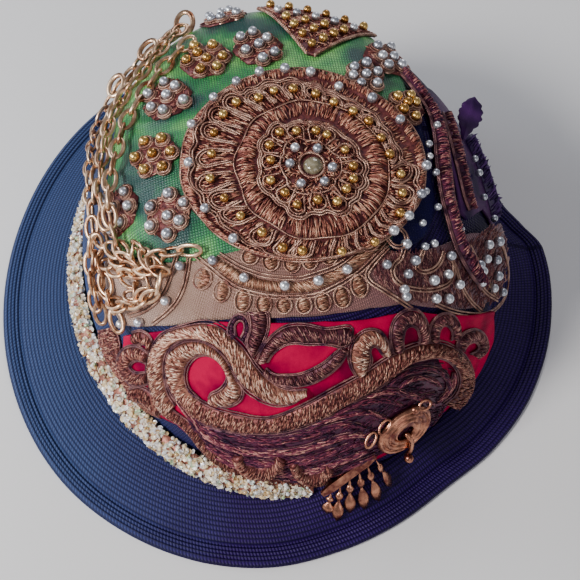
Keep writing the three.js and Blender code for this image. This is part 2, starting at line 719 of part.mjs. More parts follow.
function linkSection(axes, halfLength, turn) {
  const { centre, along, side, over } = axes;
  const around = turn * DEGREE;
  const middle = centre.clone()
    .addScaledVector(along, halfLength * Math.cos(around))
    .addScaledVector(side, LINK_HALF_WIDTH * Math.sin(around));
  const out = along.clone().multiplyScalar(Math.cos(around) / halfLength)
    .addScaledVector(side, Math.sin(around) / LINK_HALF_WIDTH).normalize();
  return anglesRound(LINK_WIRE_SIDES).map((angle) => middle.clone()
    .addScaledVector(out, LINK_WIRE * Math.cos(angle * DEGREE))
    .addScaledVector(over, LINK_WIRE * Math.sin(angle * DEGREE)));
}

function link(centre, along, normal, halfLength, roll) {
  const flat = along.clone().cross(normal).normalize();
  const side = flat.clone().applyAxisAngle(along, roll * DEGREE);
  const over = along.clone().cross(side).normalize();
  const axes = { centre, along, side, over };
  return skin(anglesRound(LINK_STEPS).map((turn) => linkSection(axes, halfLength, turn)), true);
}

function chainCurve(path) {
  const points = path.map((row) => onCrown(row.angle, row.share, row.lift));
  return new THREE.CatmullRomCurve3(points, false, 'centripetal');
}

function chainLinks(path) {
  const curve = chainCurve(path);
  const count = Math.round(curve.getLength() / (LINK_LENGTH - LINK_BITE));
  const ends = curve.getSpacedPoints(count);
  const links = [];
  for (let i = 0; i < count; i += 1) {
    const span = ends[i + 1].clone().sub(ends[i]);
    const halfLength = (span.length() + LINK_BITE) / 2;
    const centre = ends[i].clone().lerp(ends[i + 1], 0.5);
    const row = path[Math.round(((i + 0.5) / count) * (path.length - 1))];
    const normal = crownNormal(row.angle, row.share);
    links.push(link(centre, span.normalize(), normal, halfLength, i % 2 ? LINK_ROLL : -LINK_ROLL));
  }
  return links;
}

// Chain plate: the large flat link at the top end of the outer strand
const PLATE_HALF_LENGTH = 4.6;
const PLATE_HALF_WIDTH = 3.4;
const PLATE_WIRE = { wide: 1.1, thick: 0.5 };
const PLATE_RISE = 0.5;

function chainPlate(path) {
  const curve = chainCurve(path);
  const normal = crownNormal(path[0].angle, path[0].share);
  const along = curve.getTangent(0).negate().addScaledVector(normal, PLATE_RISE).normalize();
  const side = normal.clone().cross(along).normalize();
  const over = along.clone().cross(side).normalize();
  const centre = curve.getPoint(0).addScaledVector(along, PLATE_HALF_LENGTH - LINK_BITE);
  const rings = anglesRound(12).map((turn) => {
    const out = along.clone().multiplyScalar(Math.cos(turn * DEGREE))
      .addScaledVector(side, Math.sin(turn * DEGREE));
    const middle = centre.clone()
      .addScaledVector(along, PLATE_HALF_LENGTH * Math.cos(turn * DEGREE))
      .addScaledVector(side, PLATE_HALF_WIDTH * Math.sin(turn * DEGREE));
    return [[1, 1], [-1, 1], [-1, -1], [1, -1]].map(([wide, high]) => middle.clone()
      .addScaledVector(out, wide * PLATE_WIRE.wide)
      .addScaledVector(over, high * PLATE_WIRE.thick));
  });
  return skin(rings, true);
}

// Flowers: seven beads on a scalloped rosette, placed from the crown's centre
const FLOWER_RADIUS = 8.4;
const FLOWER_RELIEF = [
  { part: 0.28, height: 1.5 },
  { part: 0.64, height: 3.4 },
];
const FLOWERS = [
  { x: -17.5, y: 65, radius: 8 },
  { x: -5.5, y: 42, radius: FLOWER_RADIUS },
  { x: -26, y: 38, radius: FLOWER_RADIUS },
  { x: -41, y: 22.5, radius: FLOWER_RADIUS },
  { x: -49.5, y: -3.5, radius: FLOWER_RADIUS },
  { x: -63, y: -17.5, radius: 8 },
  { x: -46.5, y: -30, radius: FLOWER_RADIUS },
  { x: 34.6, y: 23.6, radius: 8 },
  { x: 43.6, y: 35.4, radius: 7.2 },
  { x: 47.3, y: 6.4, radius: 6.3 },
];

function flower(place) {
  const { angle, share } = crownPlace(place.x, place.y);
  const centre = crownSurface(angle, share);
  const normal = crownNormal(angle, share);
  const right = new THREE.Vector3(0, 1, 0).cross(normal).normalize();
  const back = normal.clone().cross(right);
  const point = (radius, turn, lift) => centre.clone()
    .addScaledVector(right, radius * Math.cos(turn * DEGREE))
    .addScaledVector(back, radius * Math.sin(turn * DEGREE))
    .addScaledVector(normal, lift);
  const ring = (radius, lift, dip) => anglesRound(12).map((turn, i) => point(
    radius - (i % 2 ? dip : 0),
    turn,
    lift - (i % 2 ? dip : 0) * 0.9,
  ));
  const rim = (lift) => anglesRound(12).map((turn, i) => point(place.radius - (i % 2 ? 1.4 : 0), turn, lift));
  const [valley, beads] = FLOWER_RELIEF;
  return skin([
    [point(0, 0, ON_CLOTH)],
    rim(ON_CLOTH),
    rim(ON_CLOTH + 0.9),
    ring(beads.part * place.radius, ON_CLOTH + beads.height, 1.2),
    ring(valley.part * place.radius, ON_CLOTH + valley.height, 0),
    [point(0, 0, ON_CLOTH + beads.height + 0.2)],
  ]);
}

// Brooch: a round pierced disc on the front cloth, and a bar with drops that reaches the brim
const DISC_PLACE = { angle: 290.3, share: 0.175, lift: 2.5 };
const DISC_RADIUS = 12;
const DISC_HOLE = { radius: 3, right: 0, up: -1.5 };
const DISC_PROFILE = [
  { radius: 12, height: 0.8 },
  { radius: 10.6, height: 1.9 },
  { radius: 9.2, height: 1.2 },
  { radius: 7.2, height: 2.3 },
  { radius: 5.4, height: 1.6 },
];

function placedAxes(place) {
  const normal = crownNormal(place.angle, place.share);
  const right = new THREE.Vector3(0, 0, 1).cross(normal).normalize();
  const up = normal.clone().cross(right).normalize();
  const centre = onCrown(place.angle, place.share, place.lift);
  return new THREE.Matrix4().makeBasis(right, up, normal).setPosition(centre);
}

function roundPiece(profile, sides, back) {
  const ring = (radius, height) => anglesRound(sides).map((angle) => new THREE.Vector3(
    radius * Math.cos(angle * DEGREE),
    radius * Math.sin(angle * DEGREE),
    height,
  ));
  const rings = [[new THREE.Vector3(0, 0, back)], ring(profile[0].radius, back)];
  for (const row of profile) rings.push(ring(row.radius, row.height));
  rings.push([new THREE.Vector3(0, 0, profile.at(-1).height)]);
  return skin(rings);
}

function brooch() {
  const plate = roundPiece(DISC_PROFILE, 16, 0);
  const cutter = roundPiece([{ radius: DISC_HOLE.radius, height: 4 }], 10, -1);
  cutter.translate(DISC_HOLE.right, DISC_HOLE.up, 0);
  const peg = roundPiece([{ radius: 1.1, height: 3.4 }, { radius: 0.6, height: 4 }], 8, 0);
  const arm = new THREE.BoxGeometry(1.2, 5.4, 1);
  arm.deleteAttribute('normal');
  arm.deleteAttribute('uv');
  peg.translate(DISC_HOLE.right, DISC_HOLE.up - 0.6, 0);
  arm.translate(DISC_HOLE.right, DISC_HOLE.up - 2.2, 0.6);
  const pierced = solidOf(plate).subtract(solidOf(cutter));
  const whole = pierced.add(solidOf(peg)).add(solidOf(arm));
  return geometryOfSolid(whole).applyMatrix4(placedAxes(DISC_PLACE));
}

// The bar runs from beside the disc down to the brim, on a straight line
const BAR_HIGH_END = onCrown(282.4, 0.118, 2.9);
const BAR_LOW_END = roundFoot(268.8, 7.2, 15.4);
const BAR_HALF_WIDTH = 1.8;
const BAR_HALF_THICK = 0.7;

function barAxes() {
  const along = BAR_HIGH_END.clone().sub(BAR_LOW_END);
  const length = along.length();
  along.normalize();
  const outward = new THREE.Vector3(0, -1, 0.55).normalize();
  const across = along.clone().cross(outward).normalize();
  const face = across.clone().cross(along).normalize();
  return { along, across, face, length };
}

function broochBar() {
  const { along, across, face, length } = barAxes();
  const middle = BAR_HIGH_END.clone().lerp(BAR_LOW_END, 0.5);
  const bar = new THREE.BoxGeometry(length, 2 * BAR_HALF_WIDTH, 2 * BAR_HALF_THICK, 6, 1, 1);
  bar.deleteAttribute('normal');
  bar.deleteAttribute('uv');
  const position = bar.attributes.position;
  for (let i = 0; i < position.count; i += 1) {
    const end = Math.abs(position.getX(i)) > length / 2 - 0.1;
    if (end) position.setY(i, position.getY(i) * 0.55);
  }
  bar.applyMatrix4(new THREE.Matrix4().makeBasis(along, across.negate(), face).setPosition(middle));
  return mergeVertices(bar, 1e-4);
}

// Drops: a ball and a flat leaf in one, from the bar's edge down onto the brim
const DROP_SIDES = 8;
const DROP_SECTIONS = [
  { along: 0.06, wide: 0.5, thick: 0.5 },
  { along: 0.2, wide: 1.45, thick: 1.45 },
  { along: 0.36, wide: 0.5, thick: 0.5 },
  { along: 0.6, wide: 1.9, thick: 0.45 },
  { along: 0.82, wide: 2.4, thick: 0.45 },
];
const DROPS = [
  { barShare: 0.1, angle: 269.5, out: 11.2 },
  { barShare: 0.28, angle: 271.6, out: 13.6 },
  { barShare: 0.46, angle: 274.9, out: 12 },
  { barShare: 0.64, angle: 278.5, out: 12 },
  { barShare: 0.8, angle: 282.3, out: 11 },
  { barShare: 0.96, angle: 286.2, out: 8.4 },
];
const DROP_REST = 0.55;

function drop(row) {
  const { across } = barAxes();
  const top = BAR_LOW_END.clone().lerp(BAR_HIGH_END, row.barShare)
    .addScaledVector(across, across.z > 0 ? -BAR_HALF_WIDTH - 0.35 : BAR_HALF_WIDTH + 0.35);
  const foot = onBrim(row.angle, row.out, DROP_REST);
  const along = foot.clone().sub(top);
  const side = new THREE.Vector3(0, 0, 1).cross(along).normalize();
  const face = along.clone().cross(side).normalize();
  const rings = DROP_SECTIONS.map((section) => anglesRound(DROP_SIDES).map((angle) => top.clone()
    .addScaledVector(along, section.along)
    .addScaledVector(side, section.wide * Math.cos(angle * DEGREE))
    .addScaledVector(face, section.thick * Math.sin(angle * DEGREE))));
  return skin([[top], ...rings, [foot]]);
}

add('crown', crown(), NAVY_STRAW);
add('brim', brim(), NAVY_STRAW);
add('green_cloth', greenCloth(), GREEN_SATIN);
add('front_cloth', roundPatch(FRONT_CLOTH, 18, 6, CLOTH_LOW, CLOTH_HIGH), RED_SATIN);
add('gold_band', roundPatch(GOLD_BAND, 21, 3, CLOTH_LOW, GOLD_BAND_HIGH), GOLD_CLOTH);
add('side_cloth', roundPatch(SIDE_CLOTH, 8, 5, CLOTH_LOW, CLOTH_HIGH), PURPLE_VELVET);
add('medallion', medallion(), COPPER_THREAD);
add('corner_patch', cornerPatch(), COPPER_THREAD);
add('scroll_spiral', strip(SCROLL_SPIRAL, SCROLL_HEIGHT, 20), COPPER_THREAD);
add('scroll_stem', strip(SCROLL_STEM, SCROLL_HEIGHT, 18), COPPER_THREAD);
add('scroll_leaf', strip(SCROLL_LEAF, SCROLL_HEIGHT, 14), COPPER_THREAD);
add('scroll_crescent', strip(SCROLL_CRESCENT, SCROLL_HEIGHT, 8), COPPER_THREAD);
add('scroll_curl', strip(SCROLL_CURL, SCROLL_HEIGHT, 16), COPPER_THREAD);
add('side_band_1', strip(SIDE_BAND_1, SIDE_BAND_HEIGHT, 14), COPPER_THREAD);
add('side_band_2', strip(SIDE_BAND_2, SIDE_BAND_HEIGHT, 10), COPPER_THREAD);
add('side_trim', strip(SIDE_TRIM, SIDE_TRIM_HEIGHT, 10), PURPLE_VELVET);
add('side_petal', petal(), PURPLE_VELVET);
add('sequin_trim', sequinTrim(), SEQUINS);
add('chain_outer', joined([...chainLinks(CHAIN_OUTER), chainPlate(CHAIN_OUTER)]), CHAIN_METAL);
add('chain_inner', joined(chainLinks(CHAIN_INNER)), CHAIN_METAL);
FLOWERS.forEach((place, i) => add(`flower_${i + 1}`, flower(place), COPPER_THREAD));
add('brooch_disc', brooch(), BRASS);
add('brooch_bar', broochBar(), BRASS);
DROPS.forEach((row, i) => add(`drop_${i + 1}`, drop(row), BRASS));

export default hat;
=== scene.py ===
# A multi-sided hat: navy straw dressed with embroidered cloth, bead flowers, chains and a brooch.
# Lengths are in millimetres until a piece becomes a Blender object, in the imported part's frame.
import math

import bpy
import numpy as np
from mathutils import Matrix, Vector


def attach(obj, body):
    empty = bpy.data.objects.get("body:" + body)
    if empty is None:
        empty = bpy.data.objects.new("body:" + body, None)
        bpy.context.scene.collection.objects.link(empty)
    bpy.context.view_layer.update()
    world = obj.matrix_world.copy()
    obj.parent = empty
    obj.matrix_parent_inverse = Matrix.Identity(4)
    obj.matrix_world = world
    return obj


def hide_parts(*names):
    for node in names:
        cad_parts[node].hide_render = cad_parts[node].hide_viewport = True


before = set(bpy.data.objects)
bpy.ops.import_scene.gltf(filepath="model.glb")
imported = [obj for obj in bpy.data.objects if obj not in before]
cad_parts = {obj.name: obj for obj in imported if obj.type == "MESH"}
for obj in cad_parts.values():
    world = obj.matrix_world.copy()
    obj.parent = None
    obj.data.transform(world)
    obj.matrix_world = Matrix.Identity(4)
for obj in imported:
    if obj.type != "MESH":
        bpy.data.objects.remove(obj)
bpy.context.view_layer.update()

MM = 0.001
rng = np.random.default_rng(11)

# The crown's form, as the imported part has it
CROWN_X = 4.7
CROWN_Y = -2.6
OVAL = 1.17
STRAW = 2.0
SHOULDER_ANGLE = 25
SHOULDER_SHARE = 0.045
CROWN_PROFILE = np.array([
    (86.5, 10), (87, 22.6), (85.7, 37), (82.3, 52), (76.9, 67),
    (69.7, 80.6), (60.5, 91.5), (48.7, 98.6), (31.9, 102.8), (0, 105),
])
CROWN_ARC = 152.0

# The brim's form: its width by angle
BRIM_HIGH = 11.2
BRIM_BEND = 1.6
HEM_WIDTH = 8.0
HEM_THICK = 3.0
GROOVE_WIDTH = 1.6
BRIM_WIDTHS = np.array([
    (0, 30), (5, 25), (12, 20), (25, 22), (45, 25), (65, 28), (90, 30.5), (115, 33),
    (135, 35.5), (160, 37.5), (180, 39.5), (200, 40.5), (215, 39.5), (230, 36), (245, 32),
    (258, 28), (270, 23.5), (284, 20), (298, 18.2), (310, 21), (325, 25), (345, 29),
])
ROW = 1.5
STITCH = 1.35

# Layers on the straw
CLOTH_LOW = 0.6
CLOTH_HIGH = 1.7
ON_CLOTH = 2.1

# The camera of the photograph
VIEW_AZIMUTH = -8
VIEW_ELEVATION = 58
VIEW_DISTANCE = 504
VIEW_FOCAL = 1146
PHOTO_SIZE = 580
AIM_RIGHT = 5.04
AIM_UP = -10.08
AIM_BASE = np.array([0.5, -2.6, 10.0])


# Curves and tables
def named(columns, rows):
    """A table's rows as dicts by the names of its columns"""
    names = columns.split()
    return [dict(zip(names, row)) for row in rows]


def column(table, name, at):
    """Value of a column at angles between the table's rows"""
    return np.interp(at, [row["angle"] for row in table], [row[name] for row in table])


def cosine(angle):
    return np.cos(np.radians(angle))


def sine(angle):
    return np.sin(np.radians(angle))


def full_turn(count, whole=360):
    """Angles all round, evenly spaced"""
    return np.linspace(0, whole, count, endpoint=False)


def turned_from(angle, start):
    """Angle from a start, between -180 and 180"""
    return np.mod(angle - start + 180, 360) - 180


def together(*values):
    """Arrays of one shape as the last columns of one array"""
    return np.stack(np.broadcast_arrays(*values), axis=-1)


def catmull(before, start, end, after, part):
    leave = (end - before) / 2
    arrive = (after - start) / 2
    bend = 2 * (start - end) + leave + arrive
    curve = 3 * (end - start) - 2 * leave - arrive
    return start + part * (leave + part * (curve + part * bend))


def around(table, angle):
    """Smooth value of the last column of a table of angles that closes on itself"""
    turn = np.mod(angle, 360)
    count = len(table)
    after = np.searchsorted(table[:, 0], turn, side="right")
    start = (after - 1) % count
    end = after % count
    span = np.mod(table[end, 0] - table[start, 0], 360)
    part = np.mod(turn - table[start, 0], 360) / span
    value = table[:, 1]
    return catmull(value[start - 1], value[start], value[end], value[(end + 1) % count], part)


CURVE_STEPS = 24


def through(points, count, closed=False):
    """A smooth curve of count places, evenly spaced, through points of any dimension"""
    points = np.asarray(points, float)
    if closed:
        row = np.vstack([points[-1], points, points[0], points[1]])
    else:
        row = np.vstack([2 * points[0] - points[1], points, 2 * points[-1] - points[-2]])
    part = full_turn(CURVE_STEPS, 1)[:, None]
    pieces = [catmull(row[i], row[i + 1], row[i + 2], row[i + 3], part) for i in range(len(row) - 3)]
    fine = np.vstack(pieces + [row[-2][None]])
    reach = reach_along(fine)
    at = np.linspace(0, reach[-1], count, endpoint=not closed)
    return np.stack([np.interp(at, reach, column) for column in fine.T], axis=1)


def reach_along(points):
    """Length from the first point to each"""
    return np.r_[0, np.cumsum(np.linalg.norm(np.diff(points, axis=0), axis=1))]


def length_of(points):
    return float(np.linalg.norm(np.diff(points, axis=0), axis=1).sum())


def unit(vectors):
    size = np.linalg.norm(vectors, axis=-1, keepdims=True)
    return vectors / np.maximum(size, 1e-9)


# The crown as a surface: angle round it in degrees, share of the way up it, lift off the straw
PROFILE_STEPS = 401
PROFILE = through(CROWN_PROFILE, PROFILE_STEPS)
SHARES = np.linspace(0, 1, PROFILE_STEPS)
# The profile only narrows from this row on
FIRST_NARROW = 40
# A slope is measured this far to both sides, and not at the crown's very top
NEAR_SHARE = 0.004
NEAR_ANGLE = 1
TOP_SHARE = 0.992
# Steps that settle a place on the crown, and the most that one may turn it
PLAN_STEPS = 8
COARSE_STEP = 4
CLOSER_STEPS = 3
MOST_TURN = 10


def oval_place(half, angle, height):
    return together(CROWN_X + half * cosine(angle), CROWN_Y + OVAL * half * sine(angle), height)


def shoulder(angle, height):
    """Part of the crown's half width that the softer shoulder leaves"""
    rise = (height - PROFILE[0, 1]) / (PROFILE[-1, 1] - PROFILE[0, 1])
    facing = np.maximum(0, cosine(angle - SHOULDER_ANGLE))
    return 1 - SHOULDER_SHARE * rise * facing ** 2


def crown_surface(angle, share):
    share = np.clip(share, 0, 1)
    height = np.interp(share, SHARES, PROFILE[:, 1])
    half = np.interp(share, SHARES, PROFILE[:, 0]) * shoulder(angle, height)
    return oval_place(half, angle, height)


def crown_slopes(angle, share):
    """The ways up the crown and round it, from the places near to both sides"""
    up = crown_surface(angle, share + NEAR_SHARE) - crown_surface(angle, share - NEAR_SHARE)
    along = crown_surface(angle + NEAR_ANGLE, share) - crown_surface(angle - NEAR_ANGLE, share)
    return up, along


def crown_normal(angle, share):
    up, along = crown_slopes(angle, np.clip(share, 0, TOP_SHARE))
    return unit(np.cross(along, up))


def on_crown(angle, share, lift):
    angle, share, lift = np.broadcast_arrays(
        np.asarray(angle, float), np.asarray(share, float), np.asarray(lift, float))
    return crown_surface(angle, share) + crown_normal(angle, share) * lift[..., None]


def over_crown(x, y):
    """Angle and share of the crown point over a plan place measured from the crown's centre"""
    angle = np.degrees(np.arctan2(y / OVAL, x))
    reach = np.hypot(x, y / OVAL)
    half = reach
    for _ in range(PLAN_STEPS):
        share = np.interp(-half, -PROFILE[FIRST_NARROW:, 0], SHARES[FIRST_NARROW:])
        half = reach / shoulder(angle, np.interp(share, SHARES, PROFILE[:, 1]))
    return angle, share


def crown_at(points):
    """Angle, share and lift of points near the crown: a coarse search, then a few closer steps"""
    x = points[:, 0] - CROWN_X
    y = (points[:, 1] - CROWN_Y) / OVAL
    angle = np.degrees(np.arctan2(y, x))
    half = np.hypot(x, y)
    coarse = PROFILE[::COARSE_STEP]
    away = (half[:, None] - coarse[None, :, 0]) ** 2 + (points[:, 2:3] - coarse[None, :, 1]) ** 2
    share = SHARES[::COARSE_STEP][away.argmin(axis=1)]
    for _ in range(CLOSER_STEPS):
        off = points - crown_surface(angle, share)
        up, along = crown_slopes(angle, share)
        share = share + 2 * NEAR_SHARE * (off * up).sum(1) / np.maximum((up * up).sum(1), 1e-6)
        turn = 2 * NEAR_ANGLE * (off * along).sum(1) / np.maximum((along * along).sum(1), 1e-6)
        angle = angle + np.clip(turn, -MOST_TURN, MOST_TURN)
        share = np.clip(share, 0, 1)
    normal = crown_normal(angle, share)
    lift = ((points - crown_surface(angle, share)) * normal).sum(1)
    return angle, share, lift


def settle(points, lift):
    """The places and normals of points brought to a lift off the crown"""
    angle, share, _ = crown_at(points)
    return on_crown(angle, share, lift), crown_normal(angle, share)


# What a pixel of the photograph sees on the crown
def view_axes():
    azimuth = math.radians(VIEW_AZIMUTH)
    elevation = math.radians(VIEW_ELEVATION)
    right = np.array([math.cos(azimuth), math.sin(azimuth), 0])
    back = np.array([
        math.sin(azimuth) * math.cos(elevation),
        -math.cos(azimuth) * math.cos(elevation),
        math.sin(elevation),
    ])
    up = np.cross(back, right)
    eye = right * AIM_RIGHT + up * AIM_UP + AIM_BASE + back * VIEW_DISTANCE
    return right, up, back, eye


SEEK_START = 400.0
SEEK_STEPS = 44
SEEK_SHARE = 0.8


def seen(pixels, lift, puff=None):
    """Points of the crown that pixels of the photograph see, at a lift and over the cloth's puff

    Each ray goes a share of the height that is left at a time, and its closest step counts."""
    right, up, back, eye = view_axes()
    pixels = np.asarray(pixels, float)
    centre = PHOTO_SIZE / 2
    across = (pixels[:, 0:1] - centre) / VIEW_FOCAL
    above = (centre - pixels[:, 1:2]) / VIEW_FOCAL
    rays = unit(right * across + up * above - back)
    reach = np.full(len(pixels), SEEK_START)
    best = reach.copy()
    nearest = np.full(len(pixels), np.inf)
    for _ in range(SEEK_STEPS):
        angle, _, off = crown_at(eye + rays * reach[:, None])
        gap = off - lift - (puff(angle) if puff else 0)
        closer = np.abs(gap) < nearest
        best = np.where(closer, reach, best)
        nearest = np.where(closer, np.abs(gap), nearest)
        reach = reach + SEEK_SHARE * gap
    angle, share, _ = crown_at(eye + rays * best[:, None])
    lift = lift + (puff(angle) if puff else 0)
    return on_crown(angle, share, lift), crown_normal(angle, share)


# Gathering a piece's mesh
class Form:
    """The vertices, faces, texture places and tones of one piece"""

    def __init__(self):
        self.points = []
        self.faces = []
        self.places = []
        self.tones = []
        self.count = 0

    def add(self, points, faces, places=None, tone=0.5, ends=()):
        points = np.asarray(points, float).reshape(-1, 3)
        if places is None:
            places = points[:, :2]
        self.points.append(points)
        self.faces.extend((np.asarray(faces) + self.count).tolist())
        self.faces.extend([[k + self.count for k in face] for face in ends])
        self.places.append(np.asarray(places, float).reshape(-1, 2))
        self.tones.append(np.broadcast_to(np.asarray(tone, float), (len(points),)))
        self.count += len(points)

    def build(self, name, material, smooth=True):
        mesh = bpy.data.meshes.new(name)
        mesh.from_pydata((np.vstack(self.points) * MM).tolist(), [], self.faces)
        corner = np.zeros(len(mesh.loops), np.int32)
        mesh.loops.foreach_get("vertex_index", corner)
        layer = mesh.uv_layers.new(name="place")
        layer.data.foreach_set("uv", np.vstack(self.places)[corner].astype(np.float32).ravel())
        tone = mesh.attributes.new("tone", "FLOAT", "POINT")
        tone.data.foreach_set("value", np.concatenate(self.tones).astype(np.float32))
        mesh.polygons.foreach_set("use_smooth", [smooth] * len(mesh.polygons))
        mesh.materials.append(material)
        mesh.validate()
        mesh.update()
        piece = bpy.data.objects.new(name, mesh)
        bpy.context.scene.collection.objects.link(piece)
        return piece


def grid_faces(rows, columns, closed_rows=False, closed_columns=False):
    down = np.arange(rows if closed_rows else rows - 1)
    over = np.arange(columns if closed_columns else columns - 1)
    r, c = np.meshgrid(down, over, indexing="ij")
    r, c = r.ravel(), c.ravel()
    below, beside = (r + 1) % rows, (c + 1) % columns
    corners = [r * columns + c, r * columns + beside, below * columns + beside, below * columns + c]
    return np.stack(corners, axis=1)


def tube_ends(rows, columns):
    """The two faces that close a tube of rings"""
    last = (rows - 1) * columns
    return [list(range(columns))[::-1], list(range(last, last + columns))]


def add_slab(form, upper, lower, places, tone=0.5):
    """A closed thin sheet between two grids of points"""
    rows, columns = upper.shape[:2]
    top = grid_faces(rows, columns)
    count = rows * columns
    edge = [(0, c) for c in range(columns)]
    edge += [(r, columns - 1) for r in range(1, rows)]
    edge += [(rows - 1, c) for c in range(columns - 2, -1, -1)]
    edge += [(r, 0) for r in range(rows - 2, 0, -1)]
    rim = np.array([r * columns + c for r, c in edge])
    after = np.roll(rim, -1)
    side = np.stack([rim, rim + count, after + count, after], axis=1)
    points = np.vstack([upper.reshape(-1, 3), lower.reshape(-1, 3)])
    flat = places.reshape(-1, 2)
    faces = np.vstack([top, top[:, ::-1] + count, side])
    form.add(points, faces, np.vstack([flat, flat]), tone)


def add_thread(form, path, normals, radius, sides=5, closed=False, tone=0.5, flat=1.0):
    """A round wire or cord along a path that lies on a surface with these normals"""
    path = np.asarray(path, float)
    ahead = np.roll(path, -1, axis=0) - np.roll(path, 1, axis=0)
    if not closed:
        ahead[0] = path[1] - path[0]
        ahead[-1] = path[-1] - path[-2]
    side = unit(np.cross(normals, ahead))
    over = unit(np.cross(ahead, side))
    turn = full_turn(sides, 2 * np.pi)
    size = np.broadcast_to(np.asarray(radius, float), (len(path),))[:, None, None]
    ring = (side[:, None] * np.cos(turn)[None, :, None]
            + over[:, None] * np.sin(turn)[None, :, None] * flat)
    points = path[:, None] + size * ring
    reach = reach_along(path)
    places = together(reach[:, None], turn[None] * 0.5)
    faces = grid_faces(len(path), sides, closed_rows=closed, closed_columns=True)
    form.add(points, faces, places, tone, () if closed else tube_ends(len(path), sides))


CORD_STRANDS = 2


def add_cord(form, path, normals, radius, pitch):
    """Strands twisted round each other along a path"""
    count = max(8, int(length_of(path) / pitch * 7))
    both = through(np.hstack([path, normals * 50]), count)
    fine, normals = both[:, :3], unit(both[:, 3:])
    ahead = unit(np.gradient(fine, axis=0))
    side = unit(np.cross(normals, ahead))
    reach = reach_along(fine)
    turns = max(1, round(reach[-1] / pitch))
    for strand in range(CORD_STRANDS):
        phase = 2 * np.pi * (reach / reach[-1] * turns + strand / CORD_STRANDS)
        off = side * np.cos(phase)[:, None] + normals * np.sin(phase)[:, None]
        add_thread(form, fine + off * radius * 0.52, normals, radius * 0.6)


def ball(rounds=10, rows=7):
    """A unit ball as points and faces"""
    turn = full_turn(rounds, 2 * np.pi)
    drop = np.linspace(0, np.pi, rows + 1)[1:-1]
    ring = np.stack([
        np.outer(np.sin(drop), np.cos(turn)),
        np.outer(np.sin(drop), np.sin(turn)),
        np.outer(np.cos(drop), np.ones(rounds)),
    ], axis=-1).reshape(-1, 3)
    points = np.vstack([ring, [[0, 0, 1], [0, 0, -1]]])
    faces = grid_faces(rows - 1, rounds, closed_columns=True)[:, ::-1].tolist()
    top, bottom = len(ring), len(ring) + 1
    last = (rows - 2) * rounds
    for k in range(rounds):
        after = (k + 1) % rounds
        faces.append([k, after, top])
        faces.append([last + after, last + k, bottom])
    return points, faces


BALL_POINTS, BALL_FACES = ball()


def frames_on(normals, turn=0.0):
    """Right, up and out directions at each place, as columns of a matrix"""
    across = unit(np.cross([0.0, 1.0, 0.0], normals))
    along = np.cross(normals, across)
    turn = np.broadcast_to(np.asarray(turn, float), (len(normals),))[:, None]
    right = across * np.cos(turn) + along * np.sin(turn)
    up = np.cross(normals, right)
    return np.stack([right, up, normals], axis=-1)


def add_copies(form, points, faces, centres, frames, scale, tones):
    """Copies of one small shape, each in its own frame"""
    scale = np.broadcast_to(np.asarray(scale, float).reshape(-1, 1, 1), (len(centres), 1, 1))
    placed = centres[:, None] + np.einsum("nij,vj->nvi", frames, points) * scale
    step = len(points)
    for i in range(len(centres)):
        offset = form.count + i * step
        form.faces.extend([[k + offset for k in face] for face in faces])
    form.points.append(placed.reshape(-1, 3))
    form.places.append(np.tile(points[:, :2], (len(centres), 1)))
    tones = np.broadcast_to(np.asarray(tones, float), (len(centres),))
    form.tones.append(np.repeat(tones, step))
    form.count += len(centres) * step


def add_beads(form, centres, normals, radius, tones=None):
    """Beads that stand on the places, each sunk by a little of its size"""
    if tones is None:
        tones = rng.uniform(0, 1, len(centres))
    size = radius * rng.uniform(0.94, 1.06, len(centres))
    middles = centres + normals * (size * 0.85)[:, None]
    add_copies(form, BALL_POINTS, BALL_FACES, middles, frames_on(normals), size, tones)


# Threads and padded bands
def add_threads(form, paths, normals, thick, tones):
    """Many short threads of three sides: paths has a row of points for each"""
    count, steps = paths.shape[:2]
    ahead = np.gradient(paths, axis=1)
    side = unit(np.cross(normals, ahead))
    over = unit(np.cross(ahead, side))
    turn = np.radians([90, 210, 330])[:, None]
    ring = side[:, :, None] * np.cos(turn) + over[:, :, None] * np.sin(turn)
    taper = thick * (1.12 - 0.6 * np.abs(np.linspace(-1, 1, steps)) ** 3)
    points = paths[:, :, None] + ring * taper[:, None, None]
    last = (steps - 1) * 3
    sides = grid_faces(steps, 3, closed_columns=True)
    ends = np.array([[2, 1, 0], [last, last + 1, last + 2]])
    shift = (np.arange(count) * steps * 3)[:, None, None]
    form.add(points, (sides[None] + shift).reshape(-1, 4), tone=np.repeat(tones, steps * 3),
             ends=(ends[None] + shift).reshape(-1, 3).tolist())


STITCH_PLACES = 4
STITCH_ARCH = 0.3


def lay_stitches(form, place, first, second, half_first, half_second, thick, bed=0.0, tones=None):
    """Short arched threads round the middles first, second of a surface's two directions"""
    steps = np.linspace(-1, 1, STITCH_PLACES)
    above = bed + rng.uniform(0, 0.3, len(first))[:, None] + STITCH_ARCH * (1 - steps ** 2) - 0.1
    points, normals = place(
        first[:, None] + half_first[:, None] * steps, second[:, None] + half_second[:, None] * steps, above)
    if tones is None:
        tones = rng.uniform(0, 1, len(first))
    add_threads(form, points, normals, thick, tones)


PAD_STEP = 2.2
PAD_COLUMNS = 7
PAD_TONE = 0.2
EDGE_STEP = 1.2


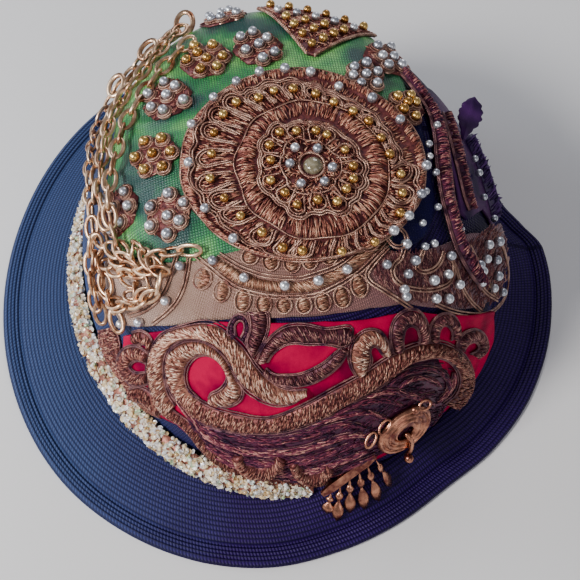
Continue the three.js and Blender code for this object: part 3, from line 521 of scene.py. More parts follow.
class Ribbon:
    """A padded band on the crown between its left and right edges"""

    def __init__(self, left, right, lift, height):
        middle = (left + right) / 2
        self.reach = reach_along(middle)
        self.rows = np.column_stack([left, right, np.broadcast_to(lift, (len(left),))])
        self.height = height
        self.length = self.reach[-1]
        self.width = float(np.linalg.norm(right - left, axis=1).mean())

    def edges(self, along):
        values = np.stack([np.interp(along, self.reach, column) for column in self.rows.T], axis=-1)
        return values[..., :3], values[..., 3:6], values[..., 6]

    def place(self, along, across, above):
        """Points and normals at a way along in mm, a part across and a height above the padding"""
        along, across, above = np.broadcast_arrays(along, across, above)
        left, right, lift = self.edges(along)
        flat = left + (right - left) * across[..., None]
        angle, share, _ = crown_at(flat.reshape(-1, 3))
        angle, share = angle.reshape(along.shape), share.reshape(along.shape)
        padding = self.height * np.sin(np.pi * np.clip(across, 0, 1)) ** 0.6
        return on_crown(angle, share, lift + padding + above), crown_normal(angle, share)

    def edge(self, side, above):
        along = np.linspace(0, self.length, max(12, int(self.length / EDGE_STEP)))
        return self.place(along, np.full(along.shape, float(side)), above)


def front_puff(angle):
    return column(FRONT_CLOTH, "puff", np.mod(angle, 360))


def band_puff(angle):
    return column(GOLD_BAND, "puff", np.mod(angle, 360))


def pixel_ribbon(left, right, height, puff=front_puff, lift=ON_CLOTH, count=110):
    """A ribbon between two edges charted in pixels of the photograph"""
    left, _ = seen(through(left, count), lift, puff)
    right, _ = seen(through(right, count), lift, puff)
    angle, _, _ = crown_at((left + right) / 2)
    return Ribbon(left, right, lift + puff(angle), height)


def beside(pixels, half, count=60):
    """Two edges, in pixels, at half widths beside a line that taper to both its ends"""
    line = through(pixels, count)
    ahead = unit(np.gradient(line, axis=0))
    side = np.stack([-ahead[:, 1], ahead[:, 0]], axis=1)
    taper = 0.15 + 0.85 * np.sin(np.linspace(0.08, np.pi - 0.08, count)) ** 0.6
    return line - side * (half * taper)[:, None], line + side * (half * taper)[:, None]


def pad_ribbon(form, ribbon):
    """The closed ground under a ribbon's stitches"""
    along = np.linspace(0, ribbon.length, max(6, int(ribbon.length / PAD_STEP)))[:, None]
    across = np.linspace(0, 1, PAD_COLUMNS)[None, :]
    top, _ = ribbon.place(along, across, -0.15)
    _, _, lift = ribbon.edges(along + 0 * across)
    low, _ = ribbon.place(along, across, 0 * along)
    angle, share, _ = crown_at(low.reshape(-1, 3))
    under = on_crown(angle, share, lift.reshape(-1) - 0.25).reshape(low.shape)
    add_slab(form, top, under, together(along, across * ribbon.width), PAD_TONE)


def fill_ribbon(form, ribbon, stitch=2.3, thick=0.25, cover=1.2, slant=0.25, tones=(0.0, 1.0), runs="across"):
    """Short stitches that overlap over a ribbon, across it or along it"""
    count = int(ribbon.length * ribbon.width * cover / (stitch * thick * 2))
    along = (np.arange(count) + rng.uniform(0, 1, count)) / count * ribbon.length
    across = rng.uniform(0, 1, count)
    left, right, _ = ribbon.edges(along)
    wide = np.maximum(np.linalg.norm(right - left, axis=1), 0.6)
    reach = stitch * rng.uniform(0.7, 1.2, count) / 2
    if runs == "across":
        half_across = np.minimum(0.5, reach / wide)
        half_along = slant * reach * rng.uniform(0.5, 1.5, count)
    else:
        half_across = slant * rng.uniform(-1, 1, count) * reach / wide * 0.3
        half_along = reach
    edge = np.minimum(np.abs(half_across) + 0.02, 0.5)
    across = edge + (1 - 2 * edge) * across
    along = np.clip(along, np.abs(half_along), ribbon.length - np.abs(half_along))
    low, high = tones
    lay_stitches(form, ribbon.place, along, across, half_along, half_across, thick,
                 tones=rng.uniform(low, high, count))


def stitch_ribbon(form, ribbon, **style):
    """A ribbon's ground and the stitches over it"""
    pad_ribbon(form, ribbon)
    fill_ribbon(form, ribbon, **style)


def edge_ribbon(form, ribbon, thick=0.36, double=False):
    """Wire along both of a ribbon's edges, and a second one beside each if double"""
    for side in (0, 1):
        points, normals = ribbon.edge(side, 0.35)
        add_thread(form, points, normals, thick)
        if double:
            points, normals = ribbon.edge(side * 1.24 - 0.12, 0.25)
            add_thread(form, points, normals, thick * 0.85, 6)


# Materials
class Nodes:
    """Short calls for the nodes of one material"""

    def __init__(self, name, **settings):
        self.material = bpy.data.materials.new(name)
        self.material.use_nodes = True
        self.tree = self.material.node_tree
        self.shader = self.tree.nodes["Principled BSDF"]
        for socket, value in settings.items():
            self.shader.inputs[socket.replace("_", " ")].default_value = value

    def join(self, value, socket):
        if hasattr(value, "is_output"):
            self.tree.links.new(value, socket)
        elif isinstance(value, (tuple, list)) and len(value) == 3 and socket.type == "RGBA":
            socket.default_value = (*value, 1)
        else:
            socket.default_value = value

    def set(self, socket, value):
        self.join(value, self.shader.inputs[socket])

    def place(self):
        return self.tree.nodes.new("ShaderNodeTexCoord").outputs["UV"]

    def solid(self):
        return self.tree.nodes.new("ShaderNodeTexCoord").outputs["Object"]

    def tone(self):
        made = self.tree.nodes.new("ShaderNodeAttribute")
        made.attribute_name = "tone"
        return made.outputs["Fac"]

    def noise(self, vector, scale, detail=2.0, rough=0.5):
        made = self.tree.nodes.new("ShaderNodeTexNoise")
        self.join(vector, made.inputs["Vector"])
        made.inputs["Scale"].default_value = scale
        made.inputs["Detail"].default_value = detail
        made.inputs["Roughness"].default_value = rough
        return made.outputs["Fac"]

    def split(self, vector):
        made = self.tree.nodes.new("ShaderNodeSeparateXYZ")
        self.join(vector, made.inputs["Vector"])
        return made.outputs["X"], made.outputs["Y"]

    def math(self, kind, first, second=0.0):
        made = self.tree.nodes.new("ShaderNodeMath")
        made.operation = kind
        self.join(first, made.inputs[0])
        self.join(second, made.inputs[1])
        return made.outputs[0]

    def times(self, first, second):
        return self.math("MULTIPLY", first, second)

    def plus(self, first, second):
        return self.math("ADD", first, second)

    def less(self, first, second):
        return self.math("SUBTRACT", first, second)

    def sine(self, value, pitch):
        turned = self.times(value, 2 * math.pi / pitch)
        wave = self.math("SINE", turned)
        return self.times(self.plus(wave, 1.0), 0.5)

    def clamped(self, value):
        made = self.tree.nodes.new("ShaderNodeClamp")
        self.join(value, made.inputs["Value"])
        return made.outputs["Result"]

    def mix(self, factor, first, second):
        made = self.tree.nodes.new("ShaderNodeMix")
        made.data_type = "RGBA"
        self.join(factor, made.inputs[0])
        self.join(first, made.inputs[6])
        self.join(second, made.inputs[7])
        return made.outputs[2]

    def ramp(self, value, stops):
        made = self.tree.nodes.new("ShaderNodeValToRGB")
        self.join(value, made.inputs["Fac"])
        band = made.color_ramp
        while len(band.elements) < len(stops):
            band.elements.new(0.5)
        for element, (at, colour) in zip(band.elements, stops):
            element.position = at
            element.color = (*colour, 1)
        return made.outputs["Color"]

    def range(self, value, low, high):
        made = self.tree.nodes.new("ShaderNodeMapRange")
        self.join(value, made.inputs["Value"])
        made.inputs["To Min"].default_value = low
        made.inputs["To Max"].default_value = high
        return made.outputs["Result"]

    def bump(self, height, distance):
        made = self.tree.nodes.new("ShaderNodeBump")
        made.inputs["Distance"].default_value = distance * MM
        made.inputs["Strength"].default_value = 1.0
        self.join(height, made.inputs["Height"])
        return made.outputs["Normal"]


def straw_material():
    """Navy straw braid in rows, each row a run of slanted stitches, with painted shade between the rows and a
    painted steel-blue sheen towards the left and the back
    """
    nodes = Nodes("navy_straw", Roughness=0.5, Specular_IOR_Level=0.16)
    u, v = nodes.split(nodes.place())
    row = nodes.math("DIVIDE", v, ROW)
    number = nodes.math("FLOOR", row)
    across = nodes.math("FRACT", row)
    slant = nodes.times(across, 0.55 * STITCH)
    shifted = nodes.plus(nodes.plus(u, slant), nodes.times(number, 0.5 * STITCH))
    stitch = nodes.sine(shifted, STITCH)
    crest = nodes.math("SINE", nodes.times(across, math.pi))
    height = nodes.times(crest, nodes.range(stitch, 0.35, 1.0))
    patch = nodes.noise(nodes.solid(), 30, 3)
    x, y = nodes.split(nodes.solid())
    dyed = nodes.ramp(patch, [(0.3, (0.026, 0.006, 0.10)), (0.7, (0.045, 0.014, 0.16))])
    # Painted shade: the colour darkens to near black between the rows and is lightest on their crests
    violet = nodes.mix(nodes.range(height, 0.0, 0.8), (0.003, 0.001, 0.02), dyed)
    # Painted sheen: towards the left and the back, where the light falls, the colour turns steel blue,
    # brighter on the row crests
    steel_sheen = nodes.mix(height, (0.008, 0.012, 0.05), (0.055, 0.095, 0.23))
    lean = nodes.less(nodes.times(y, 5.0), nodes.times(x, 11.0))
    painted_sheen_share = nodes.clamped(nodes.plus(nodes.times(patch, 0.5), lean))
    nodes.set("Base Color", nodes.mix(painted_sheen_share, violet, steel_sheen))
    nodes.set("Normal", nodes.bump(height, 0.45))
    return nodes.material


def net_satin_material():
    """Green satin under fine net, which turns to dull navy past a slanted line at its right: painted shade on
    the side away from the light
    """
    nodes = Nodes("green_satin", Roughness=0.33, Specular_IOR_Level=0.6)
    u, v = nodes.split(nodes.place())
    first = nodes.math("POWER", nodes.sine(u, 1.0), 3.0)
    second = nodes.math("POWER", nodes.sine(v, 1.0), 3.0)
    net = nodes.math("MAXIMUM", first, second)
    patch = nodes.noise(nodes.solid(), 45, 3)
    # Mottled from dark teal to pale green: partly the satin's own tone, partly painted sheen in the palest
    # patches
    cloth = nodes.ramp(patch, [
        (0.36, (0.010, 0.07, 0.06)), (0.49, (0.03, 0.28, 0.07)), (0.62, (0.24, 0.66, 0.16)),
    ])
    x, y = nodes.split(nodes.solid())
    # Painted shade: past this line at the right, away from the light, the satin is painted dull navy and
    # given less gloss
    past_shade_line = nodes.less(nodes.less(x, nodes.times(y, 0.3)), 0.0475)
    right_shade = nodes.clamped(nodes.times(past_shade_line, 260))
    cloth = nodes.mix(net, cloth, nodes.mix(0.75, cloth, (0.006, 0.03, 0.03)))
    nodes.set("Base Color", nodes.mix(right_shade, cloth, (0.008, 0.006, 0.05)))
    nodes.set("Specular IOR Level", nodes.less(0.6, nodes.times(right_shade, 0.5)))
    nodes.set("Normal", nodes.bump(net, 0.16))
    return nodes.material


def satin_material(name, dark, light, thread=0.5, gloss=0.25):
    """Plain satin with fine thread, in broad darker and lighter patches that are partly painted shade of soft
    folds
    """
    nodes = Nodes(name, Roughness=0.42, Specular_IOR_Level=gloss)
    u, v = nodes.split(nodes.place())
    weave = nodes.times(nodes.sine(u, thread), nodes.sine(v, thread * 0.8))
    # Partly painted shade: broad patches of the dark colour stand in for soft folds
    patch = nodes.noise(nodes.solid(), 60, 3)
    cloth = nodes.ramp(patch, [(0.36, dark), (0.56, light)])
    nodes.set("Base Color", nodes.mix(nodes.range(weave, 0.0, 0.25), cloth, dark))
    nodes.set("Normal", nodes.bump(weave, 0.06))
    return nodes.material


def stitch_material(name, stops, metal=0.45, rough=0.4):
    """Metal thread: each stitch has its own tone, and is wound finely"""
    nodes = Nodes(name, Metallic=metal)
    fine = nodes.noise(nodes.solid(), 900, 3, 0.6)
    broad = nodes.noise(nodes.solid(), 120, 2)
    both = nodes.plus(nodes.times(fine, 0.35), nodes.times(broad, 0.25))
    value = nodes.plus(both, nodes.times(nodes.tone(), 0.4))
    nodes.set("Base Color", nodes.ramp(value, stops))
    nodes.set("Roughness", nodes.range(fine, rough - 0.12, rough + 0.2))
    nodes.set("Normal", nodes.bump(fine, 0.12))
    return nodes.material


def wire_material(name, dark, light, metal=0.75, rough=0.34):
    """Gimp cord: fine wire wound round a core"""
    nodes = Nodes(name, Roughness=rough, Metallic=metal)
    u, v = nodes.split(nodes.place())
    wound = nodes.sine(nodes.plus(u, nodes.times(v, 0.25)), 0.42)
    patch = nodes.noise(nodes.solid(), 260, 2)
    base = nodes.ramp(patch, [(0.32, dark), (0.68, light)])
    nodes.set("Base Color", nodes.mix(nodes.times(wound, 0.45), base, dark))
    nodes.set("Normal", nodes.bump(wound, 0.08))
    return nodes.material


def bead_material(name, low, high, metal, rough):
    """Beads that differ a little from one to the next"""
    nodes = Nodes(name, Metallic=metal, Roughness=rough, Coat_Weight=0.5, Coat_Roughness=0.08)
    spots = nodes.noise(nodes.solid(), 900, 2)
    shade = nodes.plus(nodes.times(nodes.tone(), 0.7), nodes.times(spots, 0.3))
    nodes.set("Base Color", nodes.ramp(shade, [(0.15, low), (0.85, high)]))
    nodes.set("Roughness", nodes.range(spots, rough * 0.7, rough * 1.6))
    return nodes.material


def metal_material(name, dark, light, rough=0.3):
    """Antiqued metal: dark in the hollows of its worn surface"""
    nodes = Nodes(name, Metallic=1.0, Roughness=rough)
    patina = nodes.noise(nodes.solid(), 220, 4, 0.6)
    fine = nodes.noise(nodes.solid(), 1400, 2)
    tone = nodes.range(nodes.tone(), -0.08, 0.08)
    nodes.set("Base Color", nodes.ramp(nodes.plus(patina, tone), [(0.34, dark), (0.62, light)]))
    nodes.set("Roughness", nodes.range(patina, rough + 0.2, rough - 0.08))
    nodes.set("Normal", nodes.bump(fine, 0.05))
    return nodes.material


def weave_material():
    """Beige and gold cloth woven from flat metal thread, painted pale beige at the left where the light falls
    and dark plum towards the right
    """
    nodes = Nodes("gold_weave", Roughness=0.5, Metallic=0.25, Sheen_Weight=0.2)
    u, v = nodes.split(nodes.place())
    warp = nodes.sine(u, 1.05)
    weft = nodes.sine(v, 1.05)
    height = nodes.times(warp, weft)
    patch = nodes.noise(nodes.solid(), 55, 3)
    # Painted light and shade: the cloth runs from pale beige at the lit left to dark plum at the right, away
    # from the light
    x, _ = nodes.split(nodes.solid())
    spread = nodes.plus(nodes.times(x, 5.5), nodes.times(patch, 0.4))
    cloth = nodes.ramp(nodes.clamped(nodes.plus(spread, 0.35)), [
        (0.18, (0.70, 0.50, 0.40)), (0.36, (0.46, 0.29, 0.20)),
        (0.58, (0.33, 0.15, 0.12)), (0.9, (0.17, 0.05, 0.08)),
    ])
    gap = nodes.mix(0.7, cloth, (0.07, 0.02, 0.03))
    nodes.set("Base Color", nodes.mix(nodes.range(height, 0.75, 0.0), cloth, gap))
    nodes.set("Normal", nodes.bump(height, 0.32))
    return nodes.material


def sequin_material():
    """Cream, silver and gold sequins with a pearly gloss"""
    nodes = Nodes("sequins", Roughness=0.24, Metallic=0.12, Coat_Weight=0.5, Coat_Roughness=0.06)
    tone = nodes.tone()
    shade = nodes.ramp(tone, [
        (0.0, (0.46, 0.27, 0.12)), (0.2, (0.80, 0.60, 0.32)), (0.42, (0.95, 0.86, 0.68)),
        (0.7, (0.96, 0.93, 0.88)), (0.9, (0.80, 0.84, 0.92)), (1.0, (0.45, 0.72, 0.42)),
    ])
    spots = nodes.noise(nodes.solid(), 700, 2)
    nodes.set("Base Color", nodes.mix(nodes.range(spots, 0.0, 0.25), shade, (0.50, 0.34, 0.18)))
    return nodes.material


def stone_material():
    """Smoky grey-green stone"""
    nodes = Nodes("stone", Roughness=0.12, Coat_Weight=1.0, Coat_Roughness=0.04)
    cloud = nodes.noise(nodes.solid(), 420, 4, 0.7)
    nodes.set("Base Color", nodes.ramp(cloud, [
        (0.3, (0.06, 0.055, 0.045)), (0.5, (0.20, 0.17, 0.10)), (0.68, (0.33, 0.30, 0.22)),
    ]))
    return nodes.material


COPPER_STOPS = [
    (0.27, (0.045, 0.006, 0.014)), (0.42, (0.19, 0.047, 0.042)),
    (0.56, (0.37, 0.135, 0.10)), (0.72, (0.74, 0.43, 0.31)),
]
# A lighter copy of the copper thread: painted light for the spiral on the lit left; the crescent and the
# trim's core use it too
GOLD_STOPS = [
    (0.27, (0.10, 0.022, 0.025)), (0.42, (0.40, 0.16, 0.11)),
    (0.56, (0.70, 0.40, 0.28)), (0.72, (1.0, 0.80, 0.64)),
]
# A darker copy of the copper thread: painted shade, for the leaf and the pieces towards the right that lie in
# shade
SHADED_COPPER_STOPS = [
    (0.27, (0.025, 0.003, 0.014)), (0.42, (0.11, 0.022, 0.036)),
    (0.56, (0.23, 0.075, 0.075)), (0.72, (0.56, 0.31, 0.25)),
]
PLUM_STOPS = [
    (0.28, (0.014, 0.002, 0.022)), (0.42, (0.095, 0.010, 0.045)),
    (0.56, (0.25, 0.045, 0.075)), (0.72, (0.74, 0.37, 0.30)),
]
AMBER_STOPS = [
    (0.27, (0.07, 0.010, 0.016)), (0.42, (0.28, 0.080, 0.058)),
    (0.56, (0.49, 0.205, 0.135)), (0.72, (0.88, 0.56, 0.38)),
]
TAN_STOPS = [
    (0.27, (0.10, 0.03, 0.022)), (0.42, (0.29, 0.12, 0.075)),
    (0.56, (0.44, 0.225, 0.14)), (0.72, (0.74, 0.50, 0.35)),
]
STRAW_LOOK = straw_material()
GREEN_LOOK = net_satin_material()
RED_LOOK = satin_material("crimson_satin", (0.18, 0, 0.03), (0.50, 0, 0.055), gloss=0.02)
PURPLE_LOOK = satin_material("purple_velvet", (0.012, 0.002, 0.03), (0.07, 0.012, 0.12), 0.7)
PURPLE_THREAD_LOOK = stitch_material("purple_thread", [
    (0.3, (0.012, 0.003, 0.04)), (0.5, (0.05, 0.012, 0.12)), (0.72, (0.17, 0.06, 0.28)),
], metal=0.1)
MAUVE_LOOK = satin_material("mauve_cloth", (0.018, 0.005, 0.045), (0.09, 0.03, 0.11), 0.7, 0.04)
COPPER_LOOK = stitch_material("copper_stitches", COPPER_STOPS)
GOLD_LOOK = stitch_material("gold_stitches", GOLD_STOPS, metal=0.5)
SHADED_COPPER_LOOK = stitch_material("painted_shade_copper_stitches", SHADED_COPPER_STOPS)
PLUM_LOOK = stitch_material("plum_stitches", PLUM_STOPS, metal=0.35)
AMBER_LOOK = stitch_material("amber_stitches", AMBER_STOPS)
TAN_LOOK = stitch_material("tan_stitches", TAN_STOPS)
WEAVE_LOOK = weave_material()
WIRE_LOOK = wire_material("gold_gimp", (0.22, 0.09, 0.07), (0.72, 0.47, 0.35))
OUTLINE_LOOK = wire_material("plum_gimp", (0.05, 0.012, 0.035), (0.40, 0.19, 0.17), metal=0.6)
GOLD_BEAD_LOOK = bead_material("gold_beads", (0.50, 0.24, 0.05), (0.92, 0.62, 0.20), 0.95, 0.22)
SILVER_BEAD_LOOK = bead_material("silver_beads", (0.42, 0.44, 0.50), (0.82, 0.84, 0.88), 0.85, 0.26)
CHAIN_LOOK = metal_material("chain_metal", (0.30, 0.12, 0.06), (0.92, 0.64, 0.42), 0.26)
BRASS_LOOK = metal_material("brass", (0.14, 0.04, 0.035), (0.62, 0.28, 0.17), 0.24)
SEQUIN_LOOK = sequin_material()
STONE_LOOK = stone_material()


def ridden(piece, slot, *nodes):
    """The piece rides with the hat and stands for the CAD nodes named"""
    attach(piece, "root")
    if nodes:
        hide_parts(*nodes)
    return piece


# Crown, and the half widths at which texture lengths round the hat are taken
CROWN_ROUNDS = 150
CROWN_INNER_ROWS = 30
CROWN_REACH = 88
BRIM_REACH = 118
PATCH_REACH = 85
TRIM_REACH = 95


def ridge(distance, pitch):
    """Height of rounded rows side by side, from 0 to 1"""
    return np.abs(np.sin(np.pi * distance / pitch)) ** 0.7


def crown_piece():
    angle = full_turn(CROWN_ROUNDS)[None, :]
    rows = int(CROWN_ARC / ROW * 2)
    outer = np.linspace(0, 0.995, rows)[:, None]
    down = outer * CROWN_ARC
    proud = 0.28 * ridge(down, ROW)
    out = on_crown(angle, outer, proud - 0.14)
    inner = np.linspace(0.99, 0, CROWN_INNER_ROWS)[:, None]
    inside = on_crown(angle, inner, 0.05 - STRAW)
    rings = np.concatenate([out, inside])
    reach = np.radians(angle) * CROWN_REACH
    far = np.concatenate([down, inner * CROWN_ARC])
    places = together(reach, far)
    form = Form()
    joined = grid_faces(len(rings), CROWN_ROUNDS, closed_rows=True, closed_columns=True)
    form.add(rings, joined, places)
    piece = form.build("crown_straw", STRAW_LOOK)
    return ridden(piece, "navy_straw", "crown")


# Brim
BRIM_ROUNDS = 360
BRIM_ROWS = 62
HEM_ROWS = 25
BRIM_BACK_ROWS = 8
# The straw's rows begin and end this far inside the solid's edges
INSET = 0.5
# The grooves at the hem band's inner edge: how far out, in groove widths, and their form in mm
GROOVES = named("at wide deep", [(0.6, 0.7, 0.9), (1.7, 0.5, 0.5)])


def brim_height(angle, out):
    field = around(BRIM_WIDTHS, angle) - HEM_WIDTH
    part = np.clip(out / field, 0, 1)
    return HEM_THICK + (BRIM_HIGH - HEM_THICK) * (1 - part ** BRIM_BEND)


def round_foot(angle, out, height):
    return oval_place(CROWN_PROFILE[0, 0] + out, angle, height)


def brim_piece():
    angle = full_turn(BRIM_ROUNDS)[None, :]
    width = around(BRIM_WIDTHS, angle)
    field = width - HEM_WIDTH
    part = np.linspace(0, 1, BRIM_ROWS)[:, None]
    out = INSET + part * (field - INSET)
    from_rim = field - out
    rows = 0.3 * ridge(from_rim, ROW) - 0.12
    top = round_foot(angle, out, brim_height(angle, out) + rows)
    across = np.linspace(0, 1, HEM_ROWS + 1)[1:, None]
    hem_out = field + across * (HEM_WIDTH - INSET)
    hem_height = HEM_THICK
    for groove in GROOVES:
        away = (across * HEM_WIDTH - GROOVE_WIDTH * groove["at"]) / groove["wide"]
        hem_height = hem_height - groove["deep"] * np.exp(-away ** 2)
    round_over = np.clip((across - 0.82) / 0.18, 0, 1) ** 2
    hem_rows = 0.22 * ridge(across * (HEM_WIDTH - INSET), ROW * 0.93)
    hem_height = hem_height + hem_rows - 0.15 - 0.9 * round_over
    hem = round_foot(angle, hem_out, hem_height)
    rim = round_foot(angle, width, np.full_like(width, HEM_THICK / 2))
    under_out = np.concatenate([width - 0.8, width - HEM_WIDTH + GROOVE_WIDTH])
    under = round_foot(angle, under_out, np.zeros_like(under_out))
    back_part = np.linspace(0.8, 0, BRIM_BACK_ROWS)[:, None]
    back_out = INSET + back_part * (field - INSET)
    back_height = np.maximum(0.4, brim_height(angle, back_out) - STRAW)
    back = round_foot(angle, back_out, back_height)
    rings = np.concatenate([top, hem, rim, under, back])
    far = np.concatenate([
        from_rim, -across * (HEM_WIDTH - INSET) + 0 * field, -HEM_WIDTH - 0 * width,
        -HEM_WIDTH - 1 - 0 * under_out, back_out,
    ])
    reach = np.radians(angle) * BRIM_REACH + 0 * far
    form = Form()
    faces = grid_faces(len(rings), BRIM_ROUNDS, closed_rows=True, closed_columns=True)
    form.add(rings, faces, np.stack([reach, far], axis=-1))
    piece = form.build("brim_straw", STRAW_LOOK)
    return ridden(piece, "navy_straw", "brim")


# Green cloth
GREEN_EDGE = np.array([
    (0, 0.655), (20, 0.645), (45, 0.58), (70, 0.5), (100, 0.47), (130, 0.49), (150, 0.52),
    (170, 0.53), (185, 0.5), (199, 0.475), (213, 0.545), (230, 0.63), (245, 0.69), (262, 0.705),
    (279, 0.7), (296, 0.655), (312, 0.6), (324, 0.6), (340, 0.64),
])
GREEN_FOLDS = named("angle skew wide high", [
    (128, 10, 3.0, 1.1), (143, -8, 2.4, 0.9), (157, 12, 3.2, 1.2), (168, -6, 2.2, 0.8), (181, 14, 3.4, 1.3),
    (192, 4, 2.6, 1.0), (204, -10, 3.2, 1.1), (216, 6, 2.6, 1.0), (30, 8, 3.0, 0.8), (48, -6, 3.2, 0.9),
    (100, 6, 3.0, 1.0), (82, -8, 2.6, 0.8),
])
GREEN_ROUNDS = 260
GREEN_ROWS = 56


def green_piece():
    """The satin from the top of the crown down to its edge, with folds that fade towards the top"""
    angle = full_turn(GREEN_ROUNDS)[None, :]
    part = np.linspace(0.02, 1, GREEN_ROWS)[:, None]
    share = 1 - part * (1 - around(GREEN_EDGE, angle))
    folds = np.zeros(np.broadcast(angle, part).shape)
    for fold in GREEN_FOLDS:
        middle = fold["angle"] + fold["skew"] * (part - 0.7)
        away = turned_from(angle, middle) / fold["wide"]
        folds += fold["high"] * np.exp(-away ** 2) * np.clip((part - 0.55) / 0.25, 0, 1)
    top = on_crown(angle, share, CLOTH_HIGH + folds * np.clip((1.02 - part) / 0.12, 0.25, 1))
    under = on_crown(angle, share[::-7], CLOTH_LOW)
    rings = np.concatenate([top, under])
    flat = np.stack([rings[..., 0], rings[..., 1]], axis=-1)
    form = Form()
    form.add(rings, grid_faces(len(rings), angle.size, closed_rows=True, closed_columns=True), flat)
    piece = form.build("green_satin_top", GREEN_LOOK)
    return ridden(piece, "green_satin", "green_cloth")


# Cloth patches round the crown
GOLD_BAND = named("angle low high puff", [
    (198, 0.375, 0.455, 0), (205, 0.34, 0.49, 0), (211, 0.325, 0.53, 0), (222, 0.42, 0.59, 0),
    (235, 0.508, 0.655, 0), (248, 0.552, 0.705, 0), (262, 0.565, 0.715, 0), (276, 0.563, 0.712, 0),
    (287, 0.55, 0.69, 0), (298, 0.52, 0.65, 0), (308, 0.445, 0.592, 0), (316, 0.37, 0.56, 0),
    (323, 0.3, 0.525, 0), (331, 0.235, 0.475, 1.4), (338, 0.25, 0.395, 3.6), (344, 0.29, 0.345, 4.6),
])
FRONT_CLOTH = named("angle low high puff", [
    (213, 0.165, 0.305, 0), (218, 0.145, 0.365, 0), (225, 0.12, 0.425, 0), (232, 0.15, 0.475, 0),
    (240, 0.11, 0.52, 0), (250, 0.06, 0.545, 0), (262, 0.035, 0.552, 0), (272, 0.04, 0.55, 0),
    (282, 0.07, 0.535, 0), (292, 0.09, 0.515, 0), (300, 0.1, 0.49, 0), (308, 0.085, 0.425, 0.6),
    (314, 0.07, 0.37, 1.4), (320, 0.065, 0.31, 2.2), (326, 0.11, 0.245, 3),
])
SIDE_CLOTH = named("angle low high puff", [
    (334, 0.492, 0.52, 0), (340, 0.448, 0.55, 0), (345, 0.4, 0.567, 0), (348, 0.27, 0.577, 0),
    (356, 0.27, 0.592, 0), (364, 0.33, 0.6, 0), (372, 0.41, 0.615, 0), (380, 0.52, 0.625, 0),
])


def round_patch(table, columns, rows, high, crease):
    """A closed sheet between the low and high edges of a table"""
    angle = np.linspace(table[0]["angle"], table[-1]["angle"], columns)[None, :]
    up = np.linspace(0, 1, rows)[:, None]
    low_edge, high_edge = column(table, "low", angle), column(table, "high", angle)
    share = low_edge + up * (high_edge - low_edge)
    puff = column(table, "puff", angle)
    upper = on_crown(angle, share, high + puff + crease(angle, up))
    lower = on_crown(angle, share, CLOTH_LOW + puff)
    places = together(np.radians(angle) * PATCH_REACH, share * CROWN_ARC)
    form = Form()
    add_slab(form, upper, lower, places)
    return form


def no_crease(angle, up):
    return 0 * angle * up


def band_crease(angle, up):
    """Two soft creases at the band's left"""
    first = 0.5 * np.exp(-((angle - 233 + 4 * up) / 1.6) ** 2)
    second = 0.4 * np.exp(-((angle - 238 + 3 * up) / 1.2) ** 2)
    return first + second


def front_crease(angle, up):
    """The satin lies loose at its top edge"""
    wave = 0.35 * sine(angle * 17) + 0.25 * sine(angle * 41 + 60)
    return np.clip((up - 0.8) / 0.2, 0, 1) * (0.3 + wave)


# The gold band's cords, loops, pads and beads, in pixels of the photograph
BAND_UPPER_CORD = [
    (219, 254), (230, 261), (240, 267), (250, 271), (262, 275), (275, 277), (288, 278), (300, 278),
    (312, 275), (324, 271), (334, 267), (344, 261), (352, 254), (358, 247),
]
BAND_LOWER_CORD = [
    (194, 254), (204, 263), (215, 272), (226, 281), (237, 288), (249, 292), (262, 295), (278, 297),
    (295, 297), (310, 296), (322, 293), (332, 288), (342, 283), (350, 278), (358, 273), (366, 266),
    (374, 258), (382, 250), (388, 243),
]
BAND_LEFT_INNER = [(189, 257), (187, 272), (183, 288), (176, 302), (166, 313), (152, 324)]
BAND_LEFT_OUTER = [(177, 255), (172, 270), (166, 287), (156, 301), (143, 311), (128, 316)]
BAND_RIGHT_OUTLINE = [
    (388, 247), (379, 257), (370, 268), (367, 275), (371, 282), (383, 290), (397, 299), (412, 309),
]
BAND_RIGHT_LOOP = [
    (404, 249), (401, 258), (394, 265), (393, 274), (398, 282), (410, 288), (426, 290), (440, 288),
    (450, 282), (454, 272), (453, 260), (449, 252),
]
BAND_SMALL_LOOP = [(424, 250), (420, 260), (417, 268), (424, 272), (434, 269), (441, 261), (444, 252)]
BUMP_LINES = [
    [(449, 254), (456, 268), (461, 284), (470, 300), (482, 312)],
    [(462, 248), (468, 262), (476, 278), (486, 292), (498, 300)],
    [(470, 246), (478, 262), (487, 280), (496, 294)],
    [
        (500, 240), (506, 256), (509, 274), (507, 292), (499, 306), (486, 314), (468, 314),
        (450, 310), (436, 304),
    ],
]
BAND_LOOPS = named("x y wide tall lean", [
    (203, 279, 9.0, 10.5, 25), (222, 291, 8.0, 11.0, 12), (243, 300, 8.0, 11.5, 6), (264, 304, 7.8, 9.5, 0),
    (284, 305, 7.8, 8.5, 0), (304, 305, 7.8, 8.5, 0), (323, 302, 8.0, 9.5, -4), (342, 297, 8.5, 10.5, -8),
    (359, 286, 8.5, 11.5, -14), (250, 257, 8.5, 8.0, 12), (271, 261, 8.5, 10.0, 0),
    (292, 262, 8.5, 11.0, 0), (310, 260, 8.0, 10.0, 0), (329, 256, 8.5, 9.0, -12),
])
BAND_BEADS = [
    (214, 261), (245, 278), (285, 286), (318, 281), (346, 270), (182, 266), (168, 300), (142, 321),
    (124, 323), (385, 265), (404, 245), (413, 261), (406, 274), (431, 280), (445, 274), (448, 256),
    (456, 284), (402, 289), (404, 296), (433, 298), (445, 298), (485, 245), (495, 242), (493, 260),
    (483, 259), (476, 265), (479, 271), (494, 276), (478, 282), (490, 288), (499, 292),
]
BUMP_AREA = [
    (374, 268), (384, 256), (400, 252), (420, 252), (446, 250), (458, 256), (462, 280), (464, 306),
    (440, 302), (416, 300), (398, 293), (380, 284),
]
BUMP_END = [
    (458, 256), (466, 246), (478, 234), (491, 225), (501, 227), (508, 246), (509, 276), (500, 297),
    (484, 307), (464, 306),
]
BAND_TOP = 1.8


